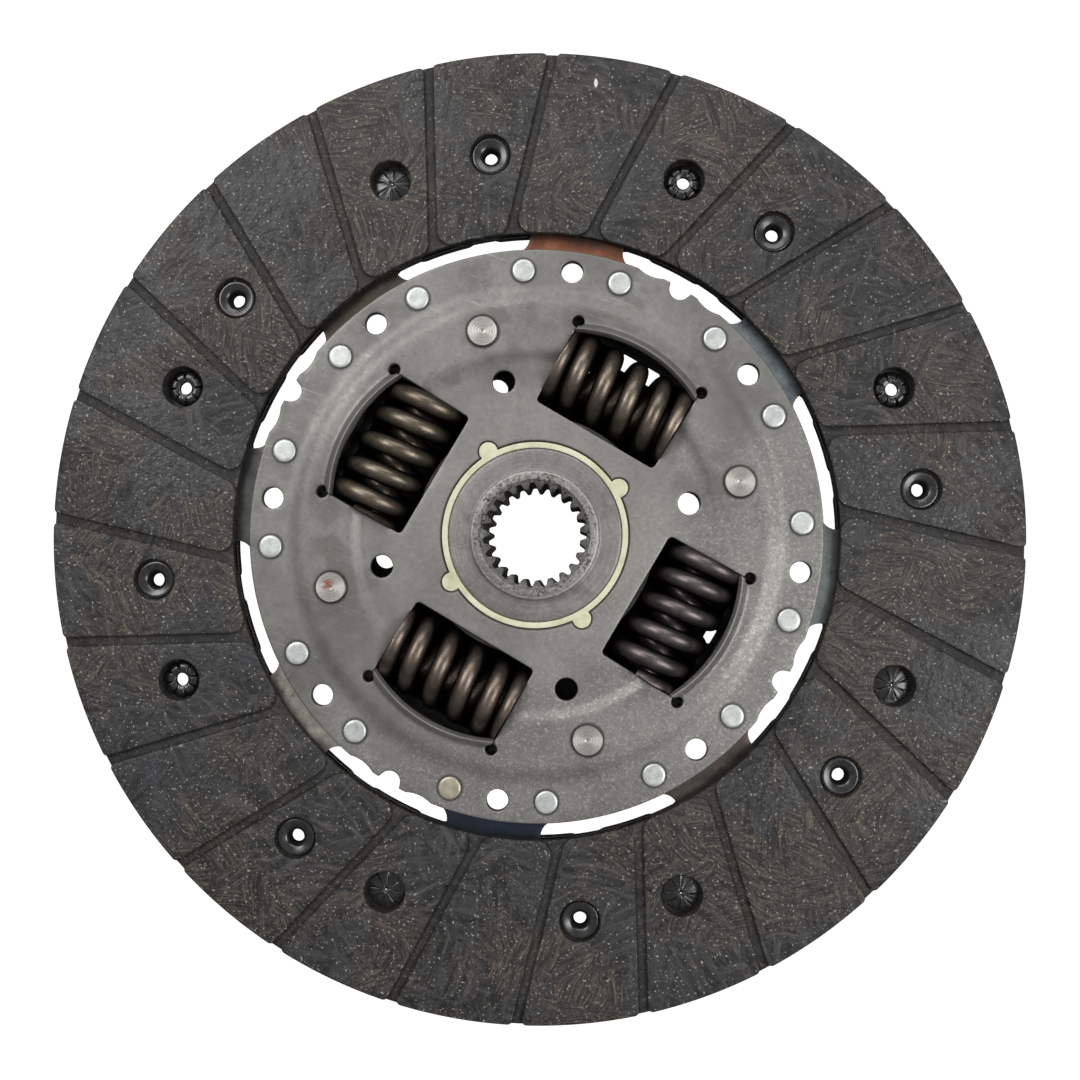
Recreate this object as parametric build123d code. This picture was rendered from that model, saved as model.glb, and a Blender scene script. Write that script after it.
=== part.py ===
from build123d import *
import math
import os

# ---------------------------------------------------------------- driving sizes (mm)
# Frame: Z is the hub axis, Z = 0 is the middle plane of the cushion segments,
# +Z is the side that carries the stop pin heads and the shallow end of the hub.

# friction facings
FACING_OD = 240.0
FACING_ID = 150.0
FACING_T = 3.2
CUSHION_HALF = 0.7            # half of the free cushion thickness between facings
GROOVES = 24
GROOVE_W = 2.2
GROOVE_DEPTH = 1.1
GROOVE_TANGENT_R = 23.4       # grooves are tangent to this circle
GROOVE_PHASE = 1.55
PAD_R_OUT = 1.2
PAD_R_IN = 3.4
RIM_STEP = 0.15

# cushion segments
SEG_N = 8
SEG_PHASE = 36.92
SEG_T = 0.7
SEG_WAVE = 0.34
NECK_HALF_DEG = 9.1
FOOT_HALF_DEG = 13.6
PADDLE_HALF_DEG = 21.2
SEG_R_IN = 61.5
FOOT_R_OUT = 71.0
FOOT_FILLET = 4.0
PADDLE_R_IN = 77.5
PADDLE_R_OUT = 117.0

# facing rivets
FR_PCR = 95.3
FR_OFF_DEG = 14.75
FR_BORE = 10.1
FR_SEAT = 1.2                 # facing left under the rivet head
FR_SHANK_R = 2.45
FR_TUBE_R = 1.75

# cushion rivets and locating holes
CR_PCR = 65.9
CR_OFF_DEG = 10.54
CR_HEAD_R = 2.85
CR_SHANK_R = 1.8
LOC_PCR = 66.1
LOC_R = 2.7
NOTCH_PCR = 70.9

# front plate
PLATE_T = 2.0
PLATE_R = 71.2
PLATE_Z0 = SEG_T / 2          # back face of the rim
BEAD_H = 1.2
BEAD_R0, BEAD_R1, BEAD_R2, BEAD_R3 = 43.0, 45.6, 57.6, 61.8

# spring windows
WIN_N = 4
WIN_PHASE = 59.4
WIN_V0 = 28.9
WIN_U0, WIN_U1 = 16.85, 17.25
WIN_V_MID = 52.4
LIP_R = 37.0                  # radius of the lip arc
LIP_CENTRE_V = WIN_V_MID - LIP_R
LIP_RISE = 1.75
LIP_BASE = 2.2                # the sheet is open this much further out, under the lip
RELIEF_U, RELIEF_V, RELIEF_R = 17.6, 51.0, 1.48

# inner holes
IH_PCR = 38.9
IH_R = 2.8
IH_PHASE = 11.5

# stop pins
PIN_PCR = 52.15
PIN_PHASE = 14.4
PIN_BODY_R = 5.0
PIN_SHANK_R = 3.4
PIN_HEAD_R = 3.98

# torsion travel
TRAVEL = 9.0
PIN_CLEAR = 0.15

# damper springs
SPR_R = 40.5                  # distance of the spring axis from the hub axis
SPR_Z = -3.9
SPR_OD = 21.6
WIRE = 5.0
SPR_L = 33.7
COILS = 5                     # turns between the two end strands
COIL_PITCH = 6.6
COIL_TURN = (0.0, 0.28, -0.04, -0.27)   # start of each spring, in turns
COIL_TAIL = 0.26              # turns beyond the end strands, where the ends are ground flat

# hub
HUB_FLANGE_Z0, HUB_FLANGE_Z1 = -6.9, -0.9
HUB_FLANGE_R = 57.0
FLANGE_WIN_V = 53.0           # outer edge of the spring windows in the flange
HUB_BOSS_R = 16.0
HUB_REAR_BOSS_R = 15.8
HUB_FRONT_Z = 4.3
HUB_REAR_Z = -22.0
HUB_JOURNAL_R = 21.6
HUB_JOURNAL_Z = 2.0
HUB_REAR_JOURNAL_R = 18.0
TEETH = 23
TIP_R, ROOT_R = 11.3, 12.95
TIP_PHASE = 6.5

# bush and friction stack
BUSH_R_IN = HUB_JOURNAL_R + 0.06
BUSH_R = 23.15
BUSH_LUG_R, BUSH_LUG_PCR, BUSH_LUG_PHASE = 2.35, 23.8, 29.2
BUSH_FLANGE_R = 28.2

# rear plate
REAR_MIRROR = 2 * SPR_Z       # rear plate mirrors the front plate about the spring plane
RET_R = 61.0
RET_R_IN = 18.6
RET_DISH = 2.4
HOOD_R, HOOD_T = 12.2, 1.8    # room round the spring and sheet thickness of a hood
HOOD_HALF = 16.95             # half length of the room, the spring bears on its ends
HOOD_SLOT_V = (41.6, 44.4)    # slot along the back of a hood
HOOD_SLOT_HALF = 14.5
HOOD_PORTS = [(0, -6.3, 4.6, 48.4), (3, -1.3, 2.8, 50.0)]     # window number, tangential limits, inner edge
HOOD_PORT_V = 52.15            # outer edge

os.makedirs("parts", exist_ok=True)


# ---------------------------------------------------------------- helpers
def polar(r, deg):
    return (r * math.cos(math.radians(deg)), r * math.sin(math.radians(deg)))


def face_of(points):
    return make_face(Polyline(*[Vector(*p) for p in points], close=True))


def prism(face, z0, z1):
    return Pos(0, 0, z0) * extrude(face, z1 - z0, dir=(0, 0, 1))


def disc(r, z0, z1, at=(0, 0)):
    return Pos(at[0], at[1], z0) * extrude(Circle(r), z1 - z0, dir=(0, 0, 1))


def ring(r0, r1, z0, z1):
    return disc(r1, z0, z1) - disc(r0, z0 - 1, z1 + 1)


def lathe(points, fillets=None):
    """Solid of revolution from (radius, z) points; fillets is {index: radius}."""
    sk = Sketch() + Polygon(*points, align=None)
    if fillets:
        by_r = {}
        for i, r in fillets.items():
            by_r.setdefault(r, []).append(points[i])
        for r, pts in by_r.items():
            vs = [v for v in sk.vertices()
                  if any(abs(v.X - p[0]) + abs(v.Y - p[1]) < 1e-6 for p in pts)]
            sk = fillet(vs, r)
    return revolve(Plane.XZ * sk, Axis.Z, 360)


def at_deg(shape, deg):
    return Rot(0, 0, deg) * shape


def sector(r0, r1, a0, a1, n=24):
    pts = [polar(r1, a0 + (a1 - a0) * i / n) for i in range(n + 1)]
    m1 = polar(r1, (a0 + a1) / 2)
    m0 = polar(r0, (a0 + a1) / 2)
    edges = [ThreePointArc(polar(r1, a0), m1, polar(r1, a1)),
             Line(polar(r1, a1), polar(r0, a1)),
             ThreePointArc(polar(r0, a1), m0, polar(r0, a0)),
             Line(polar(r0, a0), polar(r1, a0))]
    return make_face(edges)


def one(shape):
    """The single solid of a shape."""
    s = shape.solids()
    assert len(s) == 1, "expected one solid, got %d" % len(s)
    return s[0]


def save(shape, name):
    export_step(shape, "parts/%s.step" % name)
    print(name, len(shape.solids()), round(sum(s.volume for s in shape.solids()) / 1000, 2), "cm3")


# ---------------------------------------------------------------- plate with windows
def window_planform():
    """Window outline with its radial axis along +X (u is Y)."""
    c = LIP_CENTRE_V
    v1 = c + math.sqrt((LIP_R + LIP_BASE) ** 2 - WIN_U1 ** 2)
    edges = [Line((WIN_V0, -WIN_U0), (v1, -WIN_U1)),
             ThreePointArc((v1, -WIN_U1), (WIN_V_MID + LIP_BASE, 0), (v1, WIN_U1)),
             Line((v1, WIN_U1), (WIN_V0, WIN_U0)),
             Line((WIN_V0, WIN_U0), (WIN_V0, -WIN_U0))]
    f = Sketch() + make_face(edges)
    vs = [v for v in f.vertices() if abs(v.X - WIN_V0) < 1e-6]
    return fillet(vs, 1.0)


def window_lip(top=3.55):
    """Raised lip along the outer edge of a window, radial axis along +X."""
    prof = [(LIP_R, top + 0.05), (LIP_R + 0.85, top + LIP_RISE),
            (LIP_R + 3.4, top - 0.02), (LIP_R + 3.4, top - 1.9), (LIP_R + LIP_BASE - 0.05, top - 1.9)]
    sk = Sketch() + Polygon(*prof, align=None)
    vs = [v for v in sk.vertices() if abs(v.Y - (top + LIP_RISE)) < 1e-6 or abs(v.Y - (top + 0.05)) < 1e-6]
    sk = fillet(vs, 0.25)
    full = revolve(Plane.XZ * sk, Axis.Z, 360)
    half = math.degrees(math.asin(RELIEF_U / (LIP_R + 1.0)))
    wedge = prism(sector(LIP_R - 3, LIP_R + 8, -half, half), -4, 12)
    lip = full & wedge
    return Pos(LIP_CENTRE_V, 0, 0) * lip


def plate_profile(r_in, r_out, dish=0.0):
    z = PLATE_Z0
    top = [(r_in, z + PLATE_T), (BEAD_R0, z + PLATE_T), (BEAD_R1, z + PLATE_T + BEAD_H),
           (BEAD_R2, z + PLATE_T + BEAD_H), (BEAD_R3, z + PLATE_T), (r_out, z + PLATE_T)]
    bot = [(r, zz - PLATE_T) for r, zz in top][::-1]
    return top + bot


def windows_cut(body, lips=True):
    win = prism(window_planform(), -6, 12)
    holes = [disc(RELIEF_R, -6, 12, (RELIEF_V, s * RELIEF_U)) for s in (-1, 1)]
    for k in range(WIN_N):
        a = WIN_PHASE + 90 * k
        body = body - at_deg(win, a)
    if lips:
        lip = window_lip()
        for k in range(WIN_N):
            body = body + at_deg(lip, WIN_PHASE + 90 * k)
    for k in range(WIN_N):
        for h in holes:
            body = body - at_deg(h, WIN_PHASE + 90 * k)
    return body


def make_disc_plate():
    pts = plate_profile(12.0, PLATE_R)
    p = lathe(pts, {1: 4.0, 2: 2.0, 3: 2.0, 4: 4.0, 7: 4.0, 8: 1.2, 9: 1.2, 10: 3.0})
    # bush opening with lug pockets
    p = p - disc(BUSH_R + 0.12, -3, 8)
    for k in range(4):
        p = p - disc(BUSH_LUG_R + 0.1, -3, 8, polar(BUSH_LUG_PCR, BUSH_LUG_PHASE + 90 * k))
    p = windows_cut(p)
    for k in range(4):
        p = p - disc(IH_R, -3, 8, polar(IH_PCR, IH_PHASE + 90 * k))
        p = p - disc(PIN_SHANK_R, -3, 8, polar(PIN_PCR, PIN_PHASE + 90 * k))
        # rim notch between two segments, with shallow dips on each side
        g = WIN_PHASE + 90 * k
        p = p - disc(LOC_R, -3, 8, polar(NOTCH_PCR, g))
        for s in (-1, 1):
            p = p - disc(9.0, -3, 8, polar(PLATE_R + 8.25, g + s * 6.6))
    for k in range(SEG_N):
        a = SEG_PHASE + 45 * k
        p = p - disc(LOC_R, -3, 8, polar(LOC_PCR, a))
        for s in (-1, 1):
            p = p - disc(CR_SHANK_R, -3, 8, polar(CR_PCR, a + s * CR_OFF_DEG))
    return one(p)


def spring_hood(r, half):
    """Round bar over a spring, axis along the tangent at the +X window."""
    return Pos(SPR_R, 0, SPR_Z) * Rot(90, 0, 0) * Cylinder(r, 2 * half)


def make_retainer_plate():
    z = PLATE_Z0
    t = PLATE_T
    d = RET_DISH
    # front-plate style profile whose inner ring is dished outward, then mirrored to the rear
    top = [(12.0, z + t + d), (26.0, z + t + d), (30.5, z + t), (BEAD_R0, z + t),
           (BEAD_R1, z + t + BEAD_H), (BEAD_R2, z + t + BEAD_H), (RET_R, z + t + BEAD_H)]
    bot = [(r, zz - t) for r, zz in top][::-1]
    p = lathe(top + bot, {1: 2.0, 2: 2.0, 3: 4.0, 4: 2.0, 9: 1.2, 10: 3.0, 11: 3.0, 12: 1.2})
    p = p - disc(RET_R_IN, -8, 14)
    # closed hoods drawn from the sheet follow each spring, with a slot along the back
    keep = Pos(SPR_R, 0, 10.6) * Box(2 * (HOOD_R + HOOD_T - 1.7), 2 * (HOOD_HALF + HOOD_T), 20)
    hood = spring_hood(HOOD_R + HOOD_T, HOOD_HALF + HOOD_T) & keep
    room = spring_hood(HOOD_R, HOOD_HALF)
    v0, v1 = HOOD_SLOT_V
    slot = Pos((v0 + v1) / 2, 0, 6) * Box(v1 - v0, 2 * HOOD_SLOT_HALF, 20)
    for k in range(WIN_N):
        p = p + at_deg(hood, WIN_PHASE + 90 * k)
    for k in range(WIN_N):
        p = p - at_deg(room, WIN_PHASE + 90 * k) - at_deg(slot, WIN_PHASE + 90 * k)
    # the mirrored plate keeps the same hole angles as the front plate
    for k in range(4):
        p = p - disc(PIN_SHANK_R, -3, 8, polar(PIN_PCR, -(PIN_PHASE + 90 * k) + 2 * WIN_PHASE))
    for k, (dr, da, rr) in enumerate(RET_HOLES):
        if rr:
            p = p - disc(rr, -8, 12, polar(IH_PCR + dr, 2 * WIN_PHASE - (IH_PHASE + 90 * k + da)))
    # reflect about the window axis plane and about the spring plane (a half turn)
    p = p.rotate(Axis((0, 0, SPR_Z), polar(1, WIN_PHASE)), 180)
    for k, u0, u1, v0 in HOOD_PORTS:
        port = prism(face_of([(v0, u0), (HOOD_PORT_V, u0), (HOOD_PORT_V, u1), (v0, u1)]), -20, -7.8)
        p = p - at_deg(port, WIN_PHASE + 90 * k)
    return one(p)


# (radial offset, angular offset, radius) of the rear plate's inner holes
RET_HOLES = [(0.3, 0.0, 3.3), (0.0, 3.5, 2.8), (0.0, -3.5, 2.8), (0.0, 0.0, 0.0)]


# ---------------------------------------------------------------- hub
def spline_face():
    pts = []
    pitch = 360.0 / TEETH
    for i in range(TEETH):
        a = TIP_PHASE + i * pitch
        pts += [(TIP_R, a - 1.9), (TIP_R, a + 1.9), (TIP_R + 0.45, a + 3.3),
                (ROOT_R - 0.35, a + pitch / 2 - 2.5), (ROOT_R, a + pitch / 2 - 1.4),
                (ROOT_R, a + pitch / 2 + 1.4), (ROOT_R - 0.35, a + pitch / 2 + 2.5),
                (TIP_R + 0.45, a + pitch - 3.3)]
    return face_of([polar(r, a) for r, a in pts])


def make_hub():
    f0, f1 = HUB_FLANGE_Z0, HUB_FLANGE_Z1
    pts = [(8.0, HUB_REAR_Z), (HUB_REAR_BOSS_R, HUB_REAR_Z), (HUB_REAR_BOSS_R, -13.2),
           (HUB_REAR_JOURNAL_R, -13.2), (HUB_REAR_JOURNAL_R, f0), (HUB_FLANGE_R, f0),
           (HUB_FLANGE_R, f1), (HUB_JOURNAL_R, f1), (HUB_JOURNAL_R, HUB_JOURNAL_Z),
           (HUB_BOSS_R, HUB_JOURNAL_Z + 0.15), (HUB_BOSS_R, HUB_FRONT_Z), (8.0, HUB_FRONT_Z)]
    h = lathe(pts, {1: 1.0, 5: 0.5, 6: 0.5, 8: 0.5, 9: 0.6, 10: 0.9})
    # spring windows in the flange
    win = prism(face_of([(28.4, -SPR_L / 2 - 0.2), (FLANGE_WIN_V, -SPR_L / 2 - 0.2),
                         (FLANGE_WIN_V, SPR_L / 2 + 0.2), (28.4, SPR_L / 2 + 0.2)]), f0 - 1, f1 + 1)
    for k in range(WIN_N):
        h = h - at_deg(win, WIN_PHASE + 90 * k)
    # stop notches: swept by the pin bodies over the full travel, open to the rim
    w = PIN_BODY_R + PIN_CLEAR
    for k in range(4):
        a = PIN_PHASE + 90 * k
        cut = prism(sector(PIN_PCR - w, HUB_FLANGE_R + 4, -TRAVEL, TRAVEL), f0 - 1, f1 + 1)
        for s in (-1, 1):
            bar = prism(face_of([(PIN_PCR, -w), (HUB_FLANGE_R + 6, -w), (HUB_FLANGE_R + 6, w), (PIN_PCR, w)]),
                        f0 - 1, f1 + 1) + disc(w, f0 - 1, f1 + 1, (PIN_PCR, 0))
            cut = cut + at_deg(bar, s * TRAVEL)
        h = h - at_deg(cut, a)
    # sight holes in the arms
    for k in range(4):
        h = h - disc(4.2, f0 - 1, f1 + 1, polar(IH_PCR - 0.4, IH_PHASE + 90 * k))
    # splined bore with lead-in chamfers
    h = h - prism(spline_face(), HUB_REAR_Z - 1, HUB_FRONT_Z + 1)
    cone = lathe([(0, HUB_FRONT_Z + 0.02), (13.75, HUB_FRONT_Z + 0.02), (0, HUB_FRONT_Z - 8.0)])
    h = h - cone
    cone2 = lathe([(0, HUB_REAR_Z - 0.02), (13.9, HUB_REAR_Z - 0.02), (0, HUB_REAR_Z + 9.0)])
    h = h - cone2
    return one(h)


# ---------------------------------------------------------------- bush and friction stack
def make_front_bush():
    z1 = PLATE_Z0 + PLATE_T - 0.3
    b = disc(BUSH_R, HUB_FLANGE_Z1, z1)
    for k in range(4):
        b = b + disc(BUSH_LUG_R, 0.0, z1, polar(BUSH_LUG_PCR, BUSH_LUG_PHASE + 90 * k))
    b = b + disc(BUSH_FLANGE_R, HUB_FLANGE_Z1, PLATE_Z0)
    b = b - disc(BUSH_R_IN, HUB_FLANGE_Z1 - 1, z1 + 1)
    return one(b)


REAR_INNER_Z = REAR_MIRROR - (PLATE_Z0 + RET_DISH)        # inner face of the dished ring


def make_friction_washer():
    return one(ring(HUB_REAR_JOURNAL_R + 0.06, 27.6, HUB_FLANGE_Z0 - 1.3, HUB_FLANGE_Z0))


def make_thrust_washer():
    t0 = HUB_FLANGE_Z0 - 1.3 - 1.0
    w = ring(HUB_REAR_JOURNAL_R + 0.35, 26.4, t0, HUB_FLANGE_Z0 - 1.3)
    return one(w)


def make_belleville():
    z1 = HUB_FLANGE_Z0 - 2.3
    z0 = REAR_INNER_Z
    t = 0.8
    pts = [(19.4, z1 - t), (19.4, z1), (20.2, z1), (25.0, z0 + t), (25.0, z0), (24.2, z0)]
    return one(lathe(pts))


# ---------------------------------------------------------------- springs
def make_spring():
    """Right-handed coil with its axis along Z from 0 to SPR_L, ends ground flat."""
    rc = (SPR_OD - WIRE) / 2
    t0, t1 = -COIL_TAIL, COILS + COIL_TAIL
    z0 = (SPR_L - COILS * COIL_PITCH) / 2
    path = Pos(0, 0, z0 + t0 * COIL_PITCH) * Rot(0, 0, 360 * t0) * Helix(COIL_PITCH, (t1 - t0) * COIL_PITCH, rc)
    start = Plane(origin=path @ 0, z_dir=path % 0)
    coil = sweep(start * Circle(WIRE / 2), path=path, is_frenet=True)
    keep = Pos(0, 0, SPR_L / 2) * Box(3 * SPR_OD, 3 * SPR_OD, SPR_L)
    return one(coil & keep)


# ---------------------------------------------------------------- pins and rivets
def make_stop_pins():
    z_top = PLATE_Z0 + PLATE_T + BEAD_H
    z_in = z_top - PLATE_T
    z_in_r = REAR_MIRROR - z_in
    z_bot = REAR_MIRROR - z_top
    pts = [(0, z_bot - 0.75), (PIN_HEAD_R - 0.5, z_bot - 0.75), (PIN_HEAD_R, z_bot - 0.25), (PIN_HEAD_R, z_bot),
           (PIN_SHANK_R, z_bot), (PIN_SHANK_R, z_in_r), (PIN_BODY_R, z_in_r), (PIN_BODY_R, z_in),
           (PIN_SHANK_R, z_in), (PIN_SHANK_R, z_top), (PIN_HEAD_R, z_top), (PIN_HEAD_R, z_top + 0.3),
           (PIN_HEAD_R - 0.45, z_top + 0.7), (0, z_top + 0.7)]
    pin = lathe(pts)
    return Compound(children=[Pos(*polar(PIN_PCR, PIN_PHASE + 90 * k)) * pin for k in range(4)])


def make_cushion_rivets():
    zt = PLATE_Z0 + PLATE_T
    zb = -SEG_T / 2
    pts = [(0, zb - 0.8), (CR_HEAD_R - 0.35, zb - 0.8), (CR_HEAD_R, zb - 0.45), (CR_HEAD_R, zb),
           (CR_SHANK_R, zb), (CR_SHANK_R, zt), (CR_HEAD_R, zt), (CR_HEAD_R, zt + 0.35),
           (CR_HEAD_R - 0.25, zt + 0.6), (0, zt + 0.6)]
    r = lathe(pts)
    out = []
    for k in range(SEG_N):
        for s in (-1, 1):
            out.append(Pos(*polar(CR_PCR, SEG_PHASE + 45 * k + s * CR_OFF_DEG)) * r)
    return Compound(children=out)


def facing_rivet():
    """Tubular rivet: dished head seated in a counterbore (+Z), clinched end at -Z."""
    seat = CUSHION_HALF + FR_SEAT
    back = SEG_WAVE - SEG_T / 2     # back of the wave crest carrying the rivet
    pts = [(FR_TUBE_R, back - 0.75), (FR_TUBE_R + 0.75, back - 1.35), (4.3, back - 0.55), (4.3, back),
           (FR_SHANK_R, back), (FR_SHANK_R, seat), (4.6, seat), (4.6, seat + 0.45),
           (4.1, seat + 0.6), (2.6, seat + 0.5), (FR_TUBE_R, seat - 0.3)]
    r = lathe(pts)
    # the clinched end is split into eight petals
    for i in range(8):
        slot = Pos(0, 0, back - 1.6) * extrude(
            face_of([(FR_TUBE_R - 0.4, -0.2), (4.6, -0.2), (4.6, 0.2), (FR_TUBE_R - 0.4, 0.2)]), 1.35, dir=(0, 0, 1))
        r = r - at_deg(slot, 45 * i + 22.5)
    return r


def make_facing_rivets(front=True):
    r = facing_rivet()
    out = []
    for k in range(SEG_N):
        a = SEG_PHASE + 45 * k + (FR_OFF_DEG if front else -FR_OFF_DEG)
        q = r if front else r.rotate(Axis.X, 180)
        out.append(Pos(*polar(FR_PCR, a)) * q)
    return Compound(children=out)


# ---------------------------------------------------------------- cushion segments
def make_segment():
    """Wavy segment with its radial axis along +X."""
    # wave ribbon along Y: flat neck, flat crests under the two facing rivets
    y0, y1, y2, y3 = 15.6, 18.9, 29.7, 46.0
    zc, ze = SEG_WAVE, 0.12

    def edge(dz):
        out = []
        for s in (-1, 1):
            p0, p1 = Vector(0, s * y0, dz), Vector(0, s * y1, s * zc + dz)
            p2, p3 = Vector(0, s * y2, s * zc + dz), Vector(0, s * y3, s * ze + dz)
            out += [Spline(p0, p1, tangents=[(0, s, 0), (0, s, 0)]), Line(p1, p2),
                    Spline(p2, p3, tangents=[(0, s, 0), (0, s, 0)])]
        return out + [Line(Vector(0, -y0, dz), Vector(0, y0, dz))]

    h = SEG_T / 2
    e1 = edge(h)
    e0 = edge(-h)
    side0 = Line(Vector(0, -y3, -ze - h), Vector(0, -y3, -ze + h))
    side1 = Line(Vector(0, y3, ze - h), Vector(0, y3, ze + h))
    f = make_face(e1 + e0 + [side0, side1])
    ribbon = Pos(55, 0, 0) * extrude(f, 70, dir=(1, 0, 0))

    foot = sector(SEG_R_IN, FOOT_R_OUT, -FOOT_HALF_DEG, FOOT_HALF_DEG)
    neck = sector(FOOT_R_OUT - 2, PADDLE_R_IN + 2, -NECK_HALF_DEG, NECK_HALF_DEG)
    paddle = sector(PADDLE_R_IN, PADDLE_R_OUT, -PADDLE_HALF_DEG, PADDLE_HALF_DEG)
    pf = Sketch() + foot + neck + paddle
    for at_r, rad in ((FOOT_R_OUT, FOOT_FILLET), (PADDLE_R_IN, 2.0)):
        pf = fillet([v for v in pf.vertices() if abs(math.hypot(v.X, v.Y) - at_r) < 0.05
                     and abs(abs(math.degrees(math.atan2(v.Y, v.X))) - NECK_HALF_DEG) < 0.05], rad)
    outer = [v for v in pf.vertices()
             if abs(math.degrees(abs(math.atan2(v.Y, v.X))) - FOOT_HALF_DEG) < 0.05
             or abs(math.degrees(abs(math.atan2(v.Y, v.X))) - PADDLE_HALF_DEG) < 0.05]
    pf = fillet(outer, 1.2)
    s = ribbon & prism(pf, -3, 3)
    for sg in (-1, 1):
        s = s - disc(CR_SHANK_R, -3, 3, polar(CR_PCR, sg * CR_OFF_DEG))
        s = s - disc(FR_SHANK_R, -3, 3, polar(FR_PCR, sg * FR_OFF_DEG))
    s = s - disc(LOC_R, -3, 3, polar(LOC_PCR, 0))
    return one(s)


# ---------------------------------------------------------------- facings
def make_facing(front=True):
    """Grooved friction ring lying on the +Z side of the cushion."""
    z0, z1 = CUSHION_HALF, CUSHION_HALF + FACING_T
    ro, ri = FACING_OD / 2, FACING_ID / 2
    ann = Sketch() + Circle(ro) - Circle(ri)
    for k in range(GROOVES):
        a = GROOVE_PHASE + 15 * k
        w = GROOVE_W / 2
        d = GROOVE_TANGENT_R
        bar = Rot(0, 0, a) * face_of([(ri - 8, d - w), (ro + 8, d - w), (ro + 8, d + w), (ri - 8, d + w)])
        ann = ann - bar
    pads = []
    for f in ann.faces():
        sk = Sketch() + f
        vo = [v for v in sk.vertices() if math.hypot(v.X, v.Y) > (ro + ri) / 2]
        sk = fillet(vo, PAD_R_OUT)
        vi = [v for v in sk.vertices() if math.hypot(v.X, v.Y) < ri + 0.5]
        sk = fillet(vi, PAD_R_IN)
        pads.append(sk)
    body = ring(ri + 0.2, ro - RIM_STEP, z0, z1 - GROOVE_DEPTH)
    for sk in pads:
        body = body + prism(sk, z0, z1)
    for k in range(SEG_N):
        c = SEG_PHASE + 45 * k
        own, other = (c + FR_OFF_DEG, c - FR_OFF_DEG)
        body = body - disc(FR_BORE / 2, z0 + FR_SEAT, z1 + 1, polar(FR_PCR, own))
        body = body - disc(FR_SHANK_R, z0 - 1, z1 + 1, polar(FR_PCR, own))
        body = body - disc(FR_BORE / 2, z0 - 1, z1 + 1, polar(FR_PCR, other))
    body = one(body)
    if not front:
        # a half turn about a segment axis puts the seats on the other rivet of each segment
        body = body.rotate(Axis((0, 0, 0), polar(1, SEG_PHASE)), 180)
    return body


# ---------------------------------------------------------------- build
if __name__ == "__main__":
    save(make_disc_plate(), "disc_plate")
    save(make_retainer_plate(), "retainer_plate")
    save(make_hub(), "hub")
    save(make_front_bush(), "front_bush")
    save(make_friction_washer(), "friction_washer")
    save(make_thrust_washer(), "thrust_washer")
    save(make_belleville(), "belleville_spring")
    save(make_stop_pins(), "stop_pins")
    save(make_cushion_rivets(), "cushion_rivets")
    save(make_facing_rivets(True), "facing_rivets_front")
    save(make_facing_rivets(False), "facing_rivets_rear")

    seg = make_segment()
    for k in range(SEG_N):
        save(at_deg(seg, SEG_PHASE + 45 * k), "cushion_segment_%d" % (k + 1))

    save(make_facing(True), "facing_front")
    save(make_facing(False), "facing_rear")

    spring = make_spring()
    for k in range(WIN_N):
        # axis along the tangent at the window centre, coil start turned towards +Z
        s = Rot(0, 0, 360 * COIL_TURN[k]) * Pos(0, 0, -SPR_L / 2) * spring
        place = Rot(0, 0, WIN_PHASE + 90 * k) * Pos(SPR_R, 0, SPR_Z) * Plane(
            origin=(0, 0, 0), x_dir=(0, 0, 1), z_dir=(0, -1, 0)).location
        save(place * s, "damper_spring_%d" % (k + 1))
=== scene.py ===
import math

import bpy
import numpy as np
from mathutils import Matrix, Vector
from mathutils.geometry import delaunay_2d_cdt


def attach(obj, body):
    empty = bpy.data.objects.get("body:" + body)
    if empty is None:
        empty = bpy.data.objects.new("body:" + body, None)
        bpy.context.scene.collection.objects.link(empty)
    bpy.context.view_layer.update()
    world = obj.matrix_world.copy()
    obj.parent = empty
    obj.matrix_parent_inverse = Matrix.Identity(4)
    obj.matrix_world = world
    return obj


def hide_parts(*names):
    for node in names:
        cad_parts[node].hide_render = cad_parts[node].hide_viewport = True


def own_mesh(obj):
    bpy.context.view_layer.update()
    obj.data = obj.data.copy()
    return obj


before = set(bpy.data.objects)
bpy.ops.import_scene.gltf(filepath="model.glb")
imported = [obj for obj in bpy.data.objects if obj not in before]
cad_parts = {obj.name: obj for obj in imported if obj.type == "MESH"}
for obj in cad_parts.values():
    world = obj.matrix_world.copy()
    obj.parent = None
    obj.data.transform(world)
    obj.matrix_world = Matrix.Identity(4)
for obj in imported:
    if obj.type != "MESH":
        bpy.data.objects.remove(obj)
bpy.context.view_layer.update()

MM = 0.001
RAD = math.pi / 180.0

# ------------------------------------------------------------------ sizes, as in the CAD (mm, degrees)
SEG_PHASE = 36.92
WIN_PHASE = 59.4
SPR_Z = -3.9
PLATE_Z0 = 0.35
PLATE_T = 2.0
PLATE_R = 71.2
BEAD_H = 1.2
BEAD = (43.0, 45.6, 57.6, 61.8)
WIN_V0, WIN_U0, WIN_U1, WIN_V_MID = 28.9, 16.85, 17.25, 52.4
LIP_R = 37.0
LIP_C = WIN_V_MID - LIP_R
RELIEF = (51.0, 17.6, 1.48)
PIN_PCR, PIN_PHASE = 52.15, 14.4
IH_PCR, IH_R, IH_PHASE = 38.9, 2.8, 11.5
CR_PCR, CR_OFF = 65.9, 10.54
FR_PCR, FR_OFF = 95.3, 14.75
TEETH, TIP_R, ROOT_R, TIP_PHASE = 23, 11.3, 12.95, 6.5


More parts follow.
